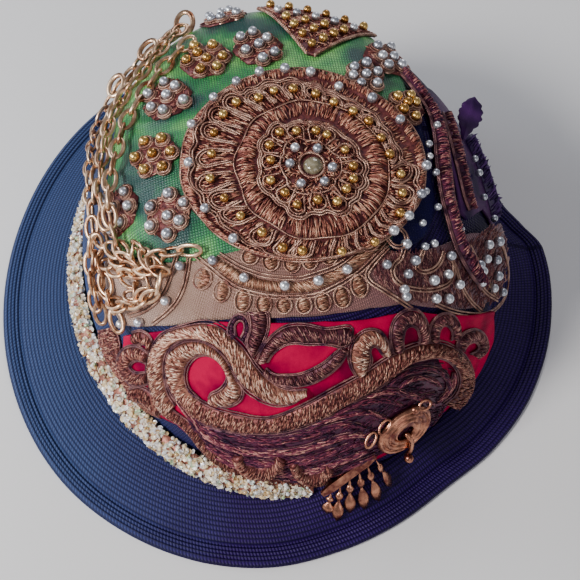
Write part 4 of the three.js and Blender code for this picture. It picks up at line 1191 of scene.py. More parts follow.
def band_ribbon(left, right, height, count=100):
    return pixel_ribbon(left, right, height, puff=band_puff, lift=BAND_TOP, count=count)


def gold_band_piece():
    piece = round_patch(GOLD_BAND, 170, 22, BAND_TOP, band_crease).build("gold_band_cloth", WEAVE_LOOK)
    return ridden(piece, "gold_weave", "gold_band")


def add_band_cord(form, pixels, apart=1.15, thick=0.4):
    """Two wires side by side along a line of pixels on the band"""
    points, normals = seen(through(pixels, 90), BAND_TOP + 0.45, band_puff)
    side = unit(np.cross(normals, np.gradient(points, axis=0)))
    for step in (-0.5, 0.5):
        add_thread(form, points + side * apart * step, normals, thick)


LOOP_QUARTER = 7
# Loops charted between these rows of pixels lie clear of the band's edges
CLEAR_ROWS = (263, 300)


def band_loop(row):
    """Pixels of an oval loop"""
    turn = full_turn(4 * LOOP_QUARTER, 2 * np.pi)
    across, down = row["wide"] * np.cos(turn), row["tall"] * np.sin(turn)
    lean = math.radians(row["lean"])
    return np.stack([
        row["x"] + across * math.cos(lean) - down * math.sin(lean),
        row["y"] + across * math.sin(lean) + down * math.cos(lean),
    ], axis=1)


def band_trims():
    cords, beads = Form(), Form()
    for line in [BAND_UPPER_CORD, BAND_LOWER_CORD, BAND_LEFT_INNER, BAND_LEFT_OUTER, BAND_RIGHT_OUTLINE,
                 BAND_RIGHT_LOOP, BAND_SMALL_LOOP] + BUMP_LINES:
        add_band_cord(cords, line)
    for row in BAND_LOOPS:
        points, _ = seen(band_loop(row), BAND_TOP)
        angle, share, _ = crown_at(points)
        turn = np.mod(angle, 360)
        low, high = column(GOLD_BAND, "low", turn) + 0.004, column(GOLD_BAND, "high", turn) - 0.004
        share = np.clip(share, low, high)
        lift = BAND_TOP + 0.35 + band_puff(angle)
        add_thread(cords, on_crown(angle, share, lift), crown_normal(angle, share), 0.42, 5, True)
    points, normals = seen(BAND_BEADS, BAND_TOP, band_puff)
    add_beads(beads, points, normals, 1.95)
    ridden(cords.build("band_cords", WIRE_LOOK), "gold_weave")
    ridden(beads.build("band_beads", SILVER_BEAD_LOOK), "gold_weave")


def pixels_within(outline, count):
    """Random pixels inside a closed line of pixels"""
    outline = np.array(outline, float)
    spots = rng.uniform(outline.min(axis=0), outline.max(axis=0), (count * 3, 2))
    start, end = outline, np.roll(outline, -1, axis=0)
    x, y = spots[:, :1], spots[:, 1:]
    rise = end[:, 1] - start[:, 1]
    spans = (start[:, 1] > y) != (end[:, 1] > y)
    crossing = start[:, 0] + (y - start[:, 1]) / np.where(rise == 0, 1, rise) * (end[:, 0] - start[:, 0])
    inside = np.sum(spans & (x < crossing), axis=1) % 2 == 1
    return spots[inside][:count]


def stitch_carpet(form, outline, count, way, lift, puff):
    """Short stitches all over the area inside a line of pixels, which lie about one way"""
    spots = pixels_within(outline, count)
    count = len(spots)
    way = np.radians(way + rng.normal(0, 18, count))
    run = np.stack([np.cos(way), np.sin(way)], axis=1) * rng.uniform(2.6, 4.4, (count, 1))
    paths = spots[:, None] + run[:, None] * np.linspace(-1, 1, STITCH_PLACES)[None, :, None]
    points, normals = seen(paths.reshape(-1, 2), lift, puff)
    shape = (count, STITCH_PLACES, 3)
    add_threads(form, points.reshape(shape), normals.reshape(shape), 0.25, rng.uniform(0, 1, count))


def bump_piece():
    """Close stitches over the band's puffed right end"""
    bump = Form()
    stitch_carpet(bump, BUMP_AREA, 1000, 80, BAND_TOP + 0.1, band_puff)
    stitch_carpet(bump, BUMP_END, 640, 115, BAND_TOP + 0.1, band_puff)
    ridden(bump.build("bump_stitches", SHADED_COPPER_LOOK), "gold_weave")


def band_pads():
    """Satin stitches between the two cords and inside each loop"""
    pads = Form()
    middle = band_ribbon(np.array(BAND_UPPER_CORD) + [0, 3], np.array(BAND_LOWER_CORD[1:]) - [0, 3], 0.5)
    stitch_ribbon(pads, middle, stitch=3.4, cover=1.3, slant=0.08, tones=(0.3, 1.0))
    for row in BAND_LOOPS:
        ring = band_loop({**row, "wide": row["wide"] - 1, "tall": row["tall"] - 1})
        half = slice(LOOP_QUARTER, 3 * LOOP_QUARTER)
        left, right = ring[half], np.roll(ring, 2 * LOOP_QUARTER, axis=0)[half][::-1]
        if not CLEAR_ROWS[0] <= row["y"] <= CLEAR_ROWS[1]:
            left, right = left[2:-2], right[2:-2]
        pad = band_ribbon(left, right, 0.5, count=24)
        stitch_ribbon(pads, pad, stitch=2.6, cover=1.2, slant=0.1, tones=(0.2, 1.0))
    ridden(pads.build("band_satin", TAN_LOOK), "gold_weave")


def front_piece():
    piece = round_patch(FRONT_CLOTH, 150, 32, CLOTH_HIGH, front_crease).build("front_satin", RED_LOOK)
    return ridden(piece, "crimson_satin", "front_cloth")


def side_piece():
    piece = round_patch(SIDE_CLOTH, 60, 40, CLOTH_HIGH, no_crease).build("side_mauve", MAUVE_LOOK)
    return ridden(piece, "purple_velvet", "side_cloth")


# Medallion
MEDALLION_RADIUS = 45
MEDALLION_SEEK_START = 20.0
MEDALLION_SEEK_STEPS = 16
MEDALLION_RINGS = named("radius x y wide long", [
    (0, 6.1, -21.9, 1.0, 1.15), (8, 5.2, -21.6, 0.94, 1.12), (15.5, 4.9, -21.5, 0.975, 1.065),
    (20, 5.5, -21.1, 0.97, 1.065), (27.5, 6.0, -21.6, 0.968, 1.047), (34, 3.4, -20.5, 0.974, 1.026),
    (40, 3.1, -18.7, 0.99, 0.967), (45, 3.3, -16.0, 0.965, 0.922),
])
MEDALLION_DENT = {"angle": 45, "spread": 26, "depth": 0.06}
MEDALLION_RELIEF = np.array([
    (0, 1.4), (5, 1.6), (8, 2.0), (12, 2.4), (16, 2.2), (19, 1.6), (21, 2.0), (24.5, 2.9), (28, 1.8),
    (34, 1.9), (38.6, 1.5), (40.2, 2.3), (42, 3.0), (44, 2.5), (45.2, 1.3),
])


def ring_value(name, radius):
    radii = [row["radius"] for row in MEDALLION_RINGS]
    return np.interp(radius, radii, [row[name] for row in MEDALLION_RINGS])


def medallion_dent(radius, turn):
    away = turned_from(turn, MEDALLION_DENT["angle"]) / MEDALLION_DENT["spread"]
    return 1 - MEDALLION_DENT["depth"] * np.exp(-away ** 2) * (radius / MEDALLION_RADIUS) ** 2


def medallion_plan(radius, turn):
    """Angle and share on the crown of a place of the medallion"""
    reach = radius * medallion_dent(radius, turn)
    x = ring_value("x", radius) + ring_value("wide", radius) * reach * cosine(turn)
    y = ring_value("y", radius) + ring_value("long", radius) * reach * sine(turn)
    return over_crown(x, y)


def medallion_relief(radius):
    return np.interp(radius, MEDALLION_RELIEF[:, 0], MEDALLION_RELIEF[:, 1])


def on_medallion(radius, turn, above=0.0):
    radius, turn, above = np.broadcast_arrays(
        np.asarray(radius, float), np.asarray(turn, float), np.asarray(above, float))
    angle, share = medallion_plan(radius, turn)
    lift = ON_CLOTH + medallion_relief(radius) + above
    return on_crown(angle, share, lift), crown_normal(angle, share)


def medallion_at(points):
    """Radius and turn of points over the medallion"""
    x, y = points[:, 0] - CROWN_X, points[:, 1] - CROWN_Y
    radius = np.full(len(points), MEDALLION_SEEK_START)
    turn = np.zeros(len(points))
    for _ in range(MEDALLION_SEEK_STEPS):
        off_x = (x - ring_value("x", radius)) / ring_value("wide", radius)
        off_y = (y - ring_value("y", radius)) / ring_value("long", radius)
        turn = np.degrees(np.arctan2(off_y, off_x))
        radius = 0.5 * (radius + np.hypot(off_x, off_y) / medallion_dent(radius, turn))
    return radius, turn


def rim_lumps(turn):
    return np.abs(sine(turn * 13 + 9 * sine(turn * 3)))


def rim_rise(turn):
    """How far the lumps of the rim stand over its middle height"""
    return 0.8 * rim_lumps(turn) - 0.5


MEDALLION_ROUNDS = 300
WIRE_ROUNDS = 200
SCALLOP_PLACES = 260
RIM_START = 39.8
RIM_END = 45.2


def medallion_ground():
    """The padded ground under the stitches, with lumps at its rim"""
    turn = full_turn(MEDALLION_ROUNDS)[None, :]
    radius = np.r_[np.linspace(0.4, 39, 15), np.linspace(RIM_START, RIM_END, 9)][:, None]
    rim = np.clip((radius - RIM_START) / 1.2, 0, 1)
    above = rim * rim_rise(turn) - 0.25
    edge = np.where(radius > 43.5, radius + 0.9 * (rim_lumps(turn) - 0.6), radius + 0 * turn)
    top, _ = on_medallion(edge, turn, above)
    angle, share = medallion_plan(edge[::-9], turn)
    rings = np.concatenate([top, on_crown(angle, share, ON_CLOTH - 0.3)])
    form = Form()
    form.add(rings, grid_faces(len(rings), turn.size, closed_rows=True, closed_columns=True), tone=0.1)
    piece = form.build("medallion_ground", COPPER_LOOK)
    return ridden(piece, "metal_thread", "medallion")


MEDALLION_FILLS = named("inner outer stitch thick cover lay", [
    (4.6, 19.2, 2.2, 0.25, 1.1, "any"), (20.6, 27.6, 4.2, 0.26, 1.8, "out"),
    (28.4, 39.4, 2.4, 0.25, 1.0, "out"), (40.4, 45.0, 2.8, 0.3, 1.9, "out"),
])


def medallion_stitches():
    form = Form()
    for fill in MEDALLION_FILLS:
        area = math.pi * (fill["outer"] ** 2 - fill["inner"] ** 2)
        count = int(area * fill["cover"] / (fill["stitch"] * fill["thick"] * 2))
        radius = np.sqrt(rng.uniform(fill["inner"] ** 2, fill["outer"] ** 2, count))
        turn = rng.uniform(0, 360, count)
        way = rng.uniform(0, np.pi, count) if fill["lay"] == "any" else rng.normal(0, 0.16, count)
        reach = fill["stitch"] * rng.uniform(0.7, 1.2, count) / 2
        half_radius = reach * np.cos(way)
        half_turn = np.degrees(reach * np.sin(way) / radius)
        span = np.abs(half_radius)
        radius = np.clip(radius, fill["inner"] + span * 0.9, fill["outer"] - span * 0.9)
        bed = np.where(radius > 40, rim_rise(turn), 0)[:, None]
        lay_stitches(form, on_medallion, radius, turn, half_radius, half_turn, fill["thick"], bed)
    ridden(form.build("medallion_stitches", AMBER_LOOK), "metal_thread")


SILVER_INNER = [(295, 146), (317, 147), (290, 162), (332, 166), (301, 182), (324, 180)]
GOLD_INNER = [
    (280, 131), (296, 130), (315, 130), (326, 134), (344, 149), (352, 165), (352, 177), (345, 187),
    (336, 199), (317, 198), (297, 202), (285, 191), (271, 179), (271, 159), (270, 144),
]
GOLD_OUTER = [
    (224, 113), (237, 101), (259, 97), (274, 90), (293, 88), (315, 93), (333, 101), (352, 110),
    (367, 120), (379, 136), (387, 152), (397, 171), (398, 189), (396, 208), (393, 227), (371, 238),
    (340, 246), (302, 245), (283, 242), (263, 228), (242, 212), (226, 195), (212, 176), (213, 152),
    (215, 131),
]
SILVER_OUTER = [
    (207, 92), (231, 75), (259, 70), (285, 70), (310, 73), (338, 85), (370, 98), (396, 119),
    (420, 163), (424, 193), (421, 224), (407, 244), (189, 122), (192, 161), (208, 204), (236, 233),
]


def medallion_places(pixels):
    points, _ = seen(pixels, ON_CLOTH + 4)
    return medallion_at(points)


def loop_path(radius, turn, half_width, tail, tip, lean=0.0):
    """A long loop round a bead, open towards the stone: its legs reach tail, its top tip"""
    half = half_width / radius * 180 / math.pi
    at = np.linspace(0, 1, 12)
    leg_out = np.stack([tail + at * (tip - half_width - tail), turn - half * (0.72 + 0.28 * at)], axis=1)
    swing = np.linspace(-90, 90, 11)[1:-1]
    top = np.stack([
        tip - half_width + half_width * cosine(swing),
        turn + half * sine(swing),
    ], axis=1)
    leg_back = leg_out[::-1] * [1, -1] + [0, 2 * turn]
    path = np.vstack([leg_out, top, leg_back])
    path[:, 1] += lean * (path[:, 0] - tail) / (tip - tail)
    return path


def add_medallion_thread(form, path, thick, above):
    smooth = through(path, max(12, int(len(path) * 1.6)))
    points, normals = on_medallion(smooth[:, 0], smooth[:, 1], above)
    add_thread(form, points, normals, thick)


def scalloped(radii, turns, crest, valley):
    """A closed line that swells round each bead of a ring and dips between two"""
    order = np.argsort(turns)
    radii, turns = radii[order], turns[order]
    after_turn = np.r_[turns[1:], turns[0] + 360]
    after_radius = np.r_[radii[1:], radii[0]]
    lean = 0.3
    quarter = turns + (after_turn - turns) * lean
    far = turns + (after_turn - turns) * (1 - lean)
    middle = (turns + after_turn) / 2
    rows = [
        np.stack([turns, radii + crest], axis=1), np.stack([quarter, radii + crest * 0.9], axis=1),
        np.stack([middle, (radii + after_radius) / 2 + valley], axis=1),
        np.stack([far, after_radius + crest * 0.9], axis=1),
    ]
    line = np.stack(rows, axis=1).reshape(-1, 2)
    smooth = through(np.column_stack([line[:, 1] * cosine(line[:, 0]),
                                      line[:, 1] * sine(line[:, 0])]),
                     SCALLOP_PLACES, closed=True)
    return np.hypot(smooth[:, 0], smooth[:, 1]), np.degrees(np.arctan2(smooth[:, 1], smooth[:, 0]))


def medallion_wires():
    """Round and scalloped wires, and loops of wire round the gold beads"""
    wires = Form()
    turns = full_turn(WIRE_ROUNDS)
    steady = 0 * turns
    inner, outer, silver = (medallion_places(px) for px in (GOLD_INNER, GOLD_OUTER, SILVER_INNER))
    lines = [
        (steady + 4.7, turns, 0.55, 0.5),
        (*scalloped(*silver, 3.4, 2.4), 0.36, 0.75),
        (*scalloped(*inner, 4.2, 3.2), 0.42, 0.8),
        (*scalloped(*inner, 5.2, 4.2), 0.36, 0.6),
        (steady + 28 + 0.5 * sine(turns * 9), turns, 0.34, 0.3),
        (*scalloped(*outer, 5.9, 4.7), 0.42, 0.9),
        (*scalloped(*outer, 7.0, 6.0), 0.36, 0.7),
        (steady + 45.1 + 0.5 * sine(turns * 10), turns, 0.4, 0.3),
    ]
    for radii, at, thick, above in lines:
        points, normals = on_medallion(np.minimum(radii, 45.3), at, above)
        add_thread(wires, points, normals, thick, 5, True)
    for radius, turn in zip(*inner):
        add_medallion_thread(wires, loop_path(radius, turn, 2.8, radius - 4.0, radius + 3.2), 0.36, 0.8)
    for radius, turn in zip(*outer):
        lean = rng.uniform(-4, 4)
        add_medallion_thread(wires, loop_path(radius, turn, 3.9, 28.8, radius + 4.6, lean), 0.42, 0.95)
        add_medallion_thread(wires, loop_path(radius, turn, 2.9, 29.6, radius + 3.6, lean), 0.36, 0.9)
    return ridden(wires.build("medallion_wires", WIRE_LOOK), "metal_thread")


def medallion_beads():
    """Gold and silver beads in two rings each, kept in from the rim's very edge"""
    gold, silver = Form(), Form()
    for pixels, form, size in [
        (GOLD_INNER, gold, 1.75), (GOLD_OUTER, gold, 1.8),
        (SILVER_INNER, silver, 1.95), (SILVER_OUTER, silver, 1.95),
    ]:
        radius, turn = medallion_places(pixels)
        points, normals = on_medallion(np.minimum(radius, 43.5), turn, 0.0)
        add_beads(form, points, normals, size)
    ridden(gold.build("medallion_gold_beads", GOLD_BEAD_LOOK), "metal_thread")
    ridden(silver.build("medallion_silver_beads", SILVER_BEAD_LOOK), "metal_thread")


def stone_piece():
    stone = Form()
    points, faces = ball(28, 16)
    centre, normal = on_medallion(np.array([0.0]), np.array([0.0]), 0.2)
    add_copies(stone, points * [1, 1, 0.72], faces, centre, frames_on(normal), 3.6, 0.5)
    return ridden(stone.build("medallion_stone", STONE_LOOK), "metal_thread")


# Bead flowers
FLOWERS = named("metal beads", [
    ("silver", [(220, 8), (237, 14), (221, 18), (208, 13), (229, 9), (212, 20)]),
    ("silver", [(241, 38), (253, 33), (267, 39), (259, 45), (246, 51), (263, 59), (275, 53)]),
    ("gold", [(213, 46), (223, 57), (198, 54), (217, 67), (201, 70), (187, 61), (195, 47), (207, 59)]),
    ("silver", [(165, 83), (176, 87), (149, 95), (167, 96), (184, 101), (152, 108), (164, 111)]),
    ("gold", [(145, 142), (162, 139), (171, 152), (163, 167), (145, 170), (136, 158), (153, 154)]),
    ("silver", [(125, 192), (129, 206), (121, 222), (114, 208), (112, 230), (108, 199)]),
    ("silver", [(169, 194), (184, 203), (151, 207), (168, 216), (180, 221), (151, 226), (168, 234)]),
    ("silver", [(354, 68), (366, 64), (377, 73), (366, 75), (353, 76), (361, 84), (377, 84)]),
    ("silver", [(377, 47), (382, 57), (393, 58), (401, 66), (388, 66), (390, 48)]),
    ("gold", [(397, 97), (410, 96), (415, 103), (403, 110), (415, 117), (407, 103)]),
])
FLOWER_STITCHES = 110
FLOWER_PLACES = 24


def add_flower_pad(form, points, normals):
    """A low pad of stitches under one flower"""
    middle = points.mean(axis=0)
    reach = np.linalg.norm(points - middle, axis=1).max() + 1.6
    axes = frames_on(normals.mean(axis=0)[None])[0]
    turn = np.radians(full_turn(FLOWER_PLACES))
    spoke = np.outer(np.cos(turn), axes[:, 0]) + np.outer(np.sin(turn), axes[:, 1])
    size = reach * (1 - 0.12 * np.abs(np.sin(turn * 3)))[:, None]
    rings = []
    for part, above in [(1, -0.2), (1, 0.5), (0.6, 0.9), (0.05, 0.9)]:
        ring, _ = settle(middle + spoke * size * part, ON_CLOTH + above)
        rings.append(ring)
    form.add(np.stack(rings), grid_faces(len(rings), FLOWER_PLACES, closed_columns=True), tone=0.1)
    count = FLOWER_STITCHES
    way, far = rng.uniform(0, 2 * np.pi, count), np.sqrt(rng.uniform(0.02, 0.85, count)) * reach
    spots = middle + np.outer(far * np.cos(way), axes[:, 0]) + np.outer(far * np.sin(way), axes[:, 1])
    lean = rng.uniform(0, np.pi, count)
    run = np.outer(np.cos(lean), axes[:, 0]) + np.outer(np.sin(lean), axes[:, 1])
    steps = np.linspace(-1.1, 1.1, STITCH_PLACES)
    paths = spots[:, None] + run[:, None] * steps[None, :, None]
    flat, facing = settle(paths.reshape(-1, 3), ON_CLOTH + 0.95)
    add_threads(form, flat.reshape(paths.shape), facing.reshape(paths.shape), 0.26, rng.uniform(0, 1, count))


def flowers():
    beads = {"silver": Form(), "gold": Form()}
    cups, pads = Form(), Form()
    for row in FLOWERS:
        points, normals = seen(row["beads"], ON_CLOTH + 1.6)
        points = points - normals * 0.9
        add_beads(beads[row["metal"]], points, normals, 2.0)
        add_cups(cups, points, normals, 2.05)
        add_flower_pad(pads, points, normals)
    names = [f"flower_{number}" for number in range(1, len(FLOWERS) + 1)]
    ridden(beads["silver"].build("flower_silver_beads", SILVER_BEAD_LOOK), "metal_thread")
    ridden(beads["gold"].build("flower_gold_beads", GOLD_BEAD_LOOK), "metal_thread")
    ridden(cups.build("flower_settings", WIRE_LOOK), "metal_thread")
    ridden(pads.build("flower_pads", COPPER_LOOK), "metal_thread", *names)


CUP_PLACES = 16


def add_cups(form, points, normals, size):
    """Two rings of wire round each bead and a low base under it"""
    turns = full_turn(CUP_PLACES, 2 * np.pi)
    axes = frames_on(normals)
    for point, frame_of, normal in zip(points, axes, normals):
        spoke = np.outer(np.cos(turns), frame_of[:, 0]) + np.outer(np.sin(turns), frame_of[:, 1])
        for reach, height in [(1.42, 0.25), (1.25, 0.95)]:
            ring = point + spoke * size * reach + normal * size * height * 0.5
            add_thread(form, ring, np.tile(normal, (CUP_PLACES, 1)), 0.34, 5, True)
        low = point + spoke * size * 1.35 - normal * 0.85
        high = point + spoke * size * 1.2 + normal * 0.3
        middle = point + spoke * 0.2 + normal * 0.35
        faces = grid_faces(3, CUP_PLACES, closed_columns=True)
        form.add(np.stack([low, high, middle]), faces, np.zeros((3 * CUP_PLACES, 2)), 0.3)


# Chains
LINK_LENGTH = 8.9
LINK_HALF_WIDTH = 2.35
LINK_WIRE = 0.86
LINK_ROLL = 45
LINK_PLACES = 26
# Length, half width and wire of the other links, and the wire of the flat ones
STRAND_LINK = (8.4, 2.2, 0.82)
TANGLE_LINK = (8.8, 2.3, 0.8)
FLAT_WIRE = 1.15
# The tangle's chains lie over each other in layers
TANGLE_LIFT = 4.4
TANGLE_STEP = 0.7
TANGLE_LAYERS = 5
CHAIN_OUTER = named("angle share lift", [
    (121, 0.528, 5.2), (130, 0.542, 4.4), (141, 0.56, 4.4), (150, 0.545, 4.4), (160, 0.524, 4.4),
    (171, 0.505, 4.4), (179, 0.486, 4.4), (186, 0.458, 4.4), (193, 0.43, 4.4), (200, 0.405, 4.6),
    (207, 0.375, 4.6), (213, 0.335, 4.8),
])
CHAIN_INNER = named("angle share lift", [
    (124, 0.645, 4.4), (135, 0.648, 4.4), (146, 0.64, 4.4), (158, 0.622, 4.6), (168, 0.6, 5.4),
    (178, 0.588, 6.8), (187, 0.566, 8.2), (195, 0.54, 8.2), (202, 0.512, 6), (209, 0.51, 5),
    (216, 0.535, 5), (221, 0.565, 5),
])
CHAIN_EDGE = [
    (180, 16), (164, 30), (148, 45), (134, 60), (122, 76), (110, 94), (102, 110), (96, 128),
    (92, 146), (90, 164), (89, 182), (90, 200), (91, 218),
]
CHAIN_MIDDLE = [
    (184, 26), (171, 38), (158, 52), (147, 66), (136, 80), (125, 94), (116, 108), (109, 124),
    (104, 142), (102, 160), (101, 178), (101, 196), (104, 212), (106, 228),
]
TANGLE = [
    [
        (98, 232), (104, 246), (114, 258), (128, 266), (142, 266), (152, 258), (164, 252),
        (182, 251), (199, 250),
    ],
    [
        (150, 258), (158, 268), (162, 280), (156, 292), (146, 300), (132, 305), (118, 304),
        (106, 300), (98, 288), (96, 272),
    ],
    [(108, 244), (118, 256), (130, 258), (138, 250), (132, 242), (138, 246), (148, 256), (152, 268)],
    [(97, 236), (95, 254), (94, 270), (96, 288), (99, 304), (102, 322)],
    [(92, 218), (92, 236), (90, 254), (91, 272), (93, 290), (97, 310)],
    [(102, 262), (116, 268), (128, 280), (138, 290), (134, 302), (118, 308), (104, 296)],
    [(110, 268), (122, 274), (136, 272), (148, 276), (150, 288), (140, 298), (126, 294)],
]
FLAT_LINKS = named("x y long wide lean", [
    (181, 17, 5.4, 3.6, 80), (103, 76, 4.6, 3.0, 55), (136, 36, 4.6, 3.0, 40),
])


def table_points(table):
    return on_crown(
        [row["angle"] for row in table], [row["share"] for row in table], [row["lift"] for row in table])


def add_link(form, centre, along, side, over, half_length, half_width, wire):
    turn = full_turn(LINK_PLACES, 2 * np.pi)
    path = centre + np.outer(half_length * np.cos(turn), along) + np.outer(half_width * np.sin(turn), side)
    add_thread(form, path, np.tile(over, (len(turn), 1)), wire, 8, True, rng.uniform(0, 1), 0.8)


def add_chain(form, rough, link=LINK_LENGTH, half_width=LINK_HALF_WIDTH, wire=LINK_WIRE):
    """Links end to end through rough points, each turned across the one before"""
    count = max(2, round(length_of(through(rough, 200)) / (link - 2 * wire)))
    ends = through(rough, count + 1)
    for i in range(count):
        span = ends[i + 1] - ends[i]
        half_length = np.linalg.norm(span) / 2 + wire
        centre = (ends[i] + ends[i + 1]) / 2
        along = unit(span)
        angle, share, _ = crown_at(centre[None])
        flat = unit(np.cross(along, crown_normal(angle, share)[0]))
        roll = math.radians(LINK_ROLL if i % 2 else -LINK_ROLL)
        side = flat * math.cos(roll) + np.cross(along, flat) * math.sin(roll)
        add_link(form, centre, along, side, np.cross(along, side), half_length, half_width, wire)


def chain_pieces():
    outer, inner, tangle = Form(), Form(), Form()
    add_chain(outer, table_points(CHAIN_OUTER))
    add_chain(inner, table_points(CHAIN_INNER))
    for line, lift in [(CHAIN_MIDDLE, 6.4), (CHAIN_EDGE, 4.6)]:
        points, _ = seen(line, lift)
        add_chain(tangle, points, *STRAND_LINK)
    for row in FLAT_LINKS:
        point, normal = seen([(row["x"], row["y"])], 6.2)
        axes = frames_on(unit(normal + 2 * view_axes()[2]), math.radians(row["lean"]))[0]
        add_link(tangle, point[0], axes[:, 0], axes[:, 1], axes[:, 2], row["long"], row["wide"], FLAT_WIRE)
    for number, line in enumerate(TANGLE):
        points, _ = seen(line, TANGLE_LIFT + TANGLE_STEP * (number % TANGLE_LAYERS))
        add_chain(tangle, points, *TANGLE_LINK)
    ridden(outer.build("chain_strand_outer", CHAIN_LOOK), "chain_metal", "chain_outer")
    ridden(inner.build("chain_strand_inner", CHAIN_LOOK), "chain_metal", "chain_inner")
    ridden(tangle.build("chain_tangle", CHAIN_LOOK), "chain_metal")


# Sequin trim
TRIM_START = 28
TRIM_END = 267
TRIM_INNER = 2.4
TRIM_PLACES = 300
TRIM_SWINGS = 9
TRIM_SIZE = named("angle wide high", [
    (28, 3, 4), (45, 5.5, 8.5), (140, 6.5, 10.5), (190, 6.2, 12), (212, 5.8, 11.5), (228, 5.6, 8.6),
    (245, 5.4, 5.6), (258, 4.6, 3.6), (267, 3, 2),
])


def trim_place(angle, swing):
    """A place on the trim's outside: swing 0 is its outer foot, 1 its top by the crown"""
    wide, high = column(TRIM_SIZE, "wide", angle), column(TRIM_SIZE, "high", angle)
    foot = brim_height(angle, np.full_like(angle, TRIM_INNER)) + CLOTH_LOW
    turn = np.radians(swing * 110 - 10)
    out = TRIM_INNER + wide * np.maximum(0, np.cos(turn)) * 0.95
    return round_foot(angle, out, foot + high * (0.12 + 0.8 * np.sin(np.maximum(turn, 0))))


def trim_spots(count):
    """Random places on the trim, and the way out of it at each"""
    at = rng.uniform(TRIM_START + 1, TRIM_END - 1, count)
    centre = trim_place(at, rng.uniform(0, 1, count))
    low = np.full(count, TRIM_INNER)
    return centre, unit(centre - round_foot(at, low, brim_height(at, low) + 2))


def trim_core():
    """The padded braid under the sequins"""
    angle = np.linspace(TRIM_START, TRIM_END, TRIM_PLACES)[:, None]
    swing = np.linspace(0, 1, TRIM_SWINGS)[None, :]
    skin = trim_place(angle + 0 * swing, swing + 0 * angle)
    foot = brim_height(angle, np.full_like(angle, TRIM_INNER)) + CLOTH_LOW
    inner = round_foot(angle, np.full_like(angle, TRIM_INNER), foot)
    rings = np.concatenate([skin, inner], axis=1)
    columns = TRIM_SWINGS + 1
    places = together(np.radians(angle) * TRIM_REACH, np.arange(columns)[None] * 1.2)
    form = Form()
    faces = grid_faces(TRIM_PLACES, columns, closed_columns=True)
    form.add(rings, faces, places, 0.2, tube_ends(TRIM_PLACES, columns))
    return ridden(form.build("trim_core", GOLD_LOOK), "sequins", "sequin_trim")


def trim_sequins(count=3000):
    """Six-sided cupped sequins that lean every way"""
    centre, out = trim_spots(count)
    tilt = unit(out + rng.normal(0, 0.55, (count, 3)))
    turn = np.linspace(0, 2 * np.pi, 7)[:-1]
    disc = np.vstack([[[0, 0, -0.28]], np.stack([np.cos(turn), np.sin(turn), 0 * turn], axis=1)])
    faces = [[0, k + 1, (k + 1) % 6 + 1] for k in range(6)]
    size, tones = rng.uniform(0.75, 1.35, count), rng.uniform(0, 1, count)
    form = Form()
    add_copies(form, disc, faces, centre + out * 0.5, frames_on(tilt), size, tones)
    return ridden(form.build("trim_sequins", SEQUIN_LOOK, smooth=False), "sequins")


def trim_threads(count=900):
    """Cut ends of thread that stick out between the sequins"""
    centre, out = trim_spots(count)
    lean = unit(out + rng.normal(0, 0.45, (count, 3)))
    spike = np.array([[0.22, 0, -0.4], [-0.11, 0.19, -0.4], [-0.11, -0.19, -0.4], [0, 0, 1.9]])
    faces = [[0, 1, 3], [1, 2, 3], [2, 0, 3], [2, 1, 0]]
    size, tones = rng.uniform(0.7, 1.25, count), rng.uniform(0.2, 0.8, count)
    form = Form()
    add_copies(form, spike, faces, centre, frames_on(lean), size, tones)
    return ridden(form.build("trim_threads", SEQUIN_LOOK), "sequins")


def trim_beads(count=420):
    """Small beads between the sequins"""
    centre, out = trim_spots(count)
    points, shell = ball(8, 5)
    size, tones = rng.uniform(0.6, 1.05, count), rng.uniform(0, 1, count)
    form = Form()
    add_copies(form, points, shell, centre + out * 0.6, frames_on(out), size, tones)
    return ridden(form.build("trim_beads", SEQUIN_LOOK), "sequins")


def trim_pieces():
    trim_core()
    trim_sequins()
    trim_threads()
    trim_beads()


# The scrolls' edges, in pixels of the photograph
SPIRAL_OUTER = [
    (165, 415), (158, 405), (153, 394), (150, 382), (148, 370), (149, 359), (152, 349), (158, 340),
    (165, 333), (175, 329), (190, 325), (203, 323), (216, 325), (227, 332), (236, 340), (244, 348),
    (250, 357), (256, 366), (264, 375), (272, 382), (282, 388), (294, 390), (307, 389),
]
SPIRAL_GROOVE = [
    (176, 405), (170, 397), (166, 386), (164, 374), (164, 362), (167, 352), (174, 344), (184, 339),
    (196, 338), (208, 340), (219, 347), (227, 355), (233, 366), (238, 377), (245, 387), (254, 394),
    (264, 400), (278, 404), (293, 402), (306, 394),
]
RING_OUTER = [
    (186, 404), (177, 399), (171, 390), (167, 378), (166, 366), (168, 355), (175, 347), (185, 342),
    (197, 341), (208, 344), (217, 350), (225, 358), (231, 368), (236, 379), (242, 389), (240, 398),
    (232, 404), (221, 406), (213, 402),
]
RING_INNER = [
    (199, 399), (192, 393), (187, 386), (185, 377), (186, 368), (190, 361), (196, 356), (204, 354),
    (212, 356), (219, 361), (225, 369), (228, 378), (225, 386), (219, 391), (212, 394), (209, 398),
]
STEM_UPPER = [
    (187, 392), (199, 400), (212, 407), (225, 411), (238, 414), (252, 417), (266, 418), (280, 415),
    (295, 409), (310, 402), (325, 394), (340, 386), (355, 378), (370, 369), (384, 360), (398, 352),
    (412, 346), (426, 343), (440, 343), (452, 347), (462, 354), (469, 363), (473, 374), (472, 386),
    (466, 398), (457, 408),
]
STEM_LOWER = [
    (180, 401), (189, 411), (200, 420), (213, 425), (228, 429), (245, 432), (262, 432), (280, 431),
    (297, 427), (312, 422), (326, 416), (340, 408), (354, 400), (368, 392), (380, 385), (392, 376),
    (402, 367), (414, 361), (426, 358), (437, 357), (447, 360), (454, 366), (458, 374), (458, 385),
    (453, 395), (444, 403),
]
CREST_OUTER = [(266, 311), (268, 320), (267, 330), (263, 341), (258, 350), (254, 357)]
CREST_INNER = [(249, 312), (251, 321), (251, 331), (248, 340), (249, 348), (253, 356)]
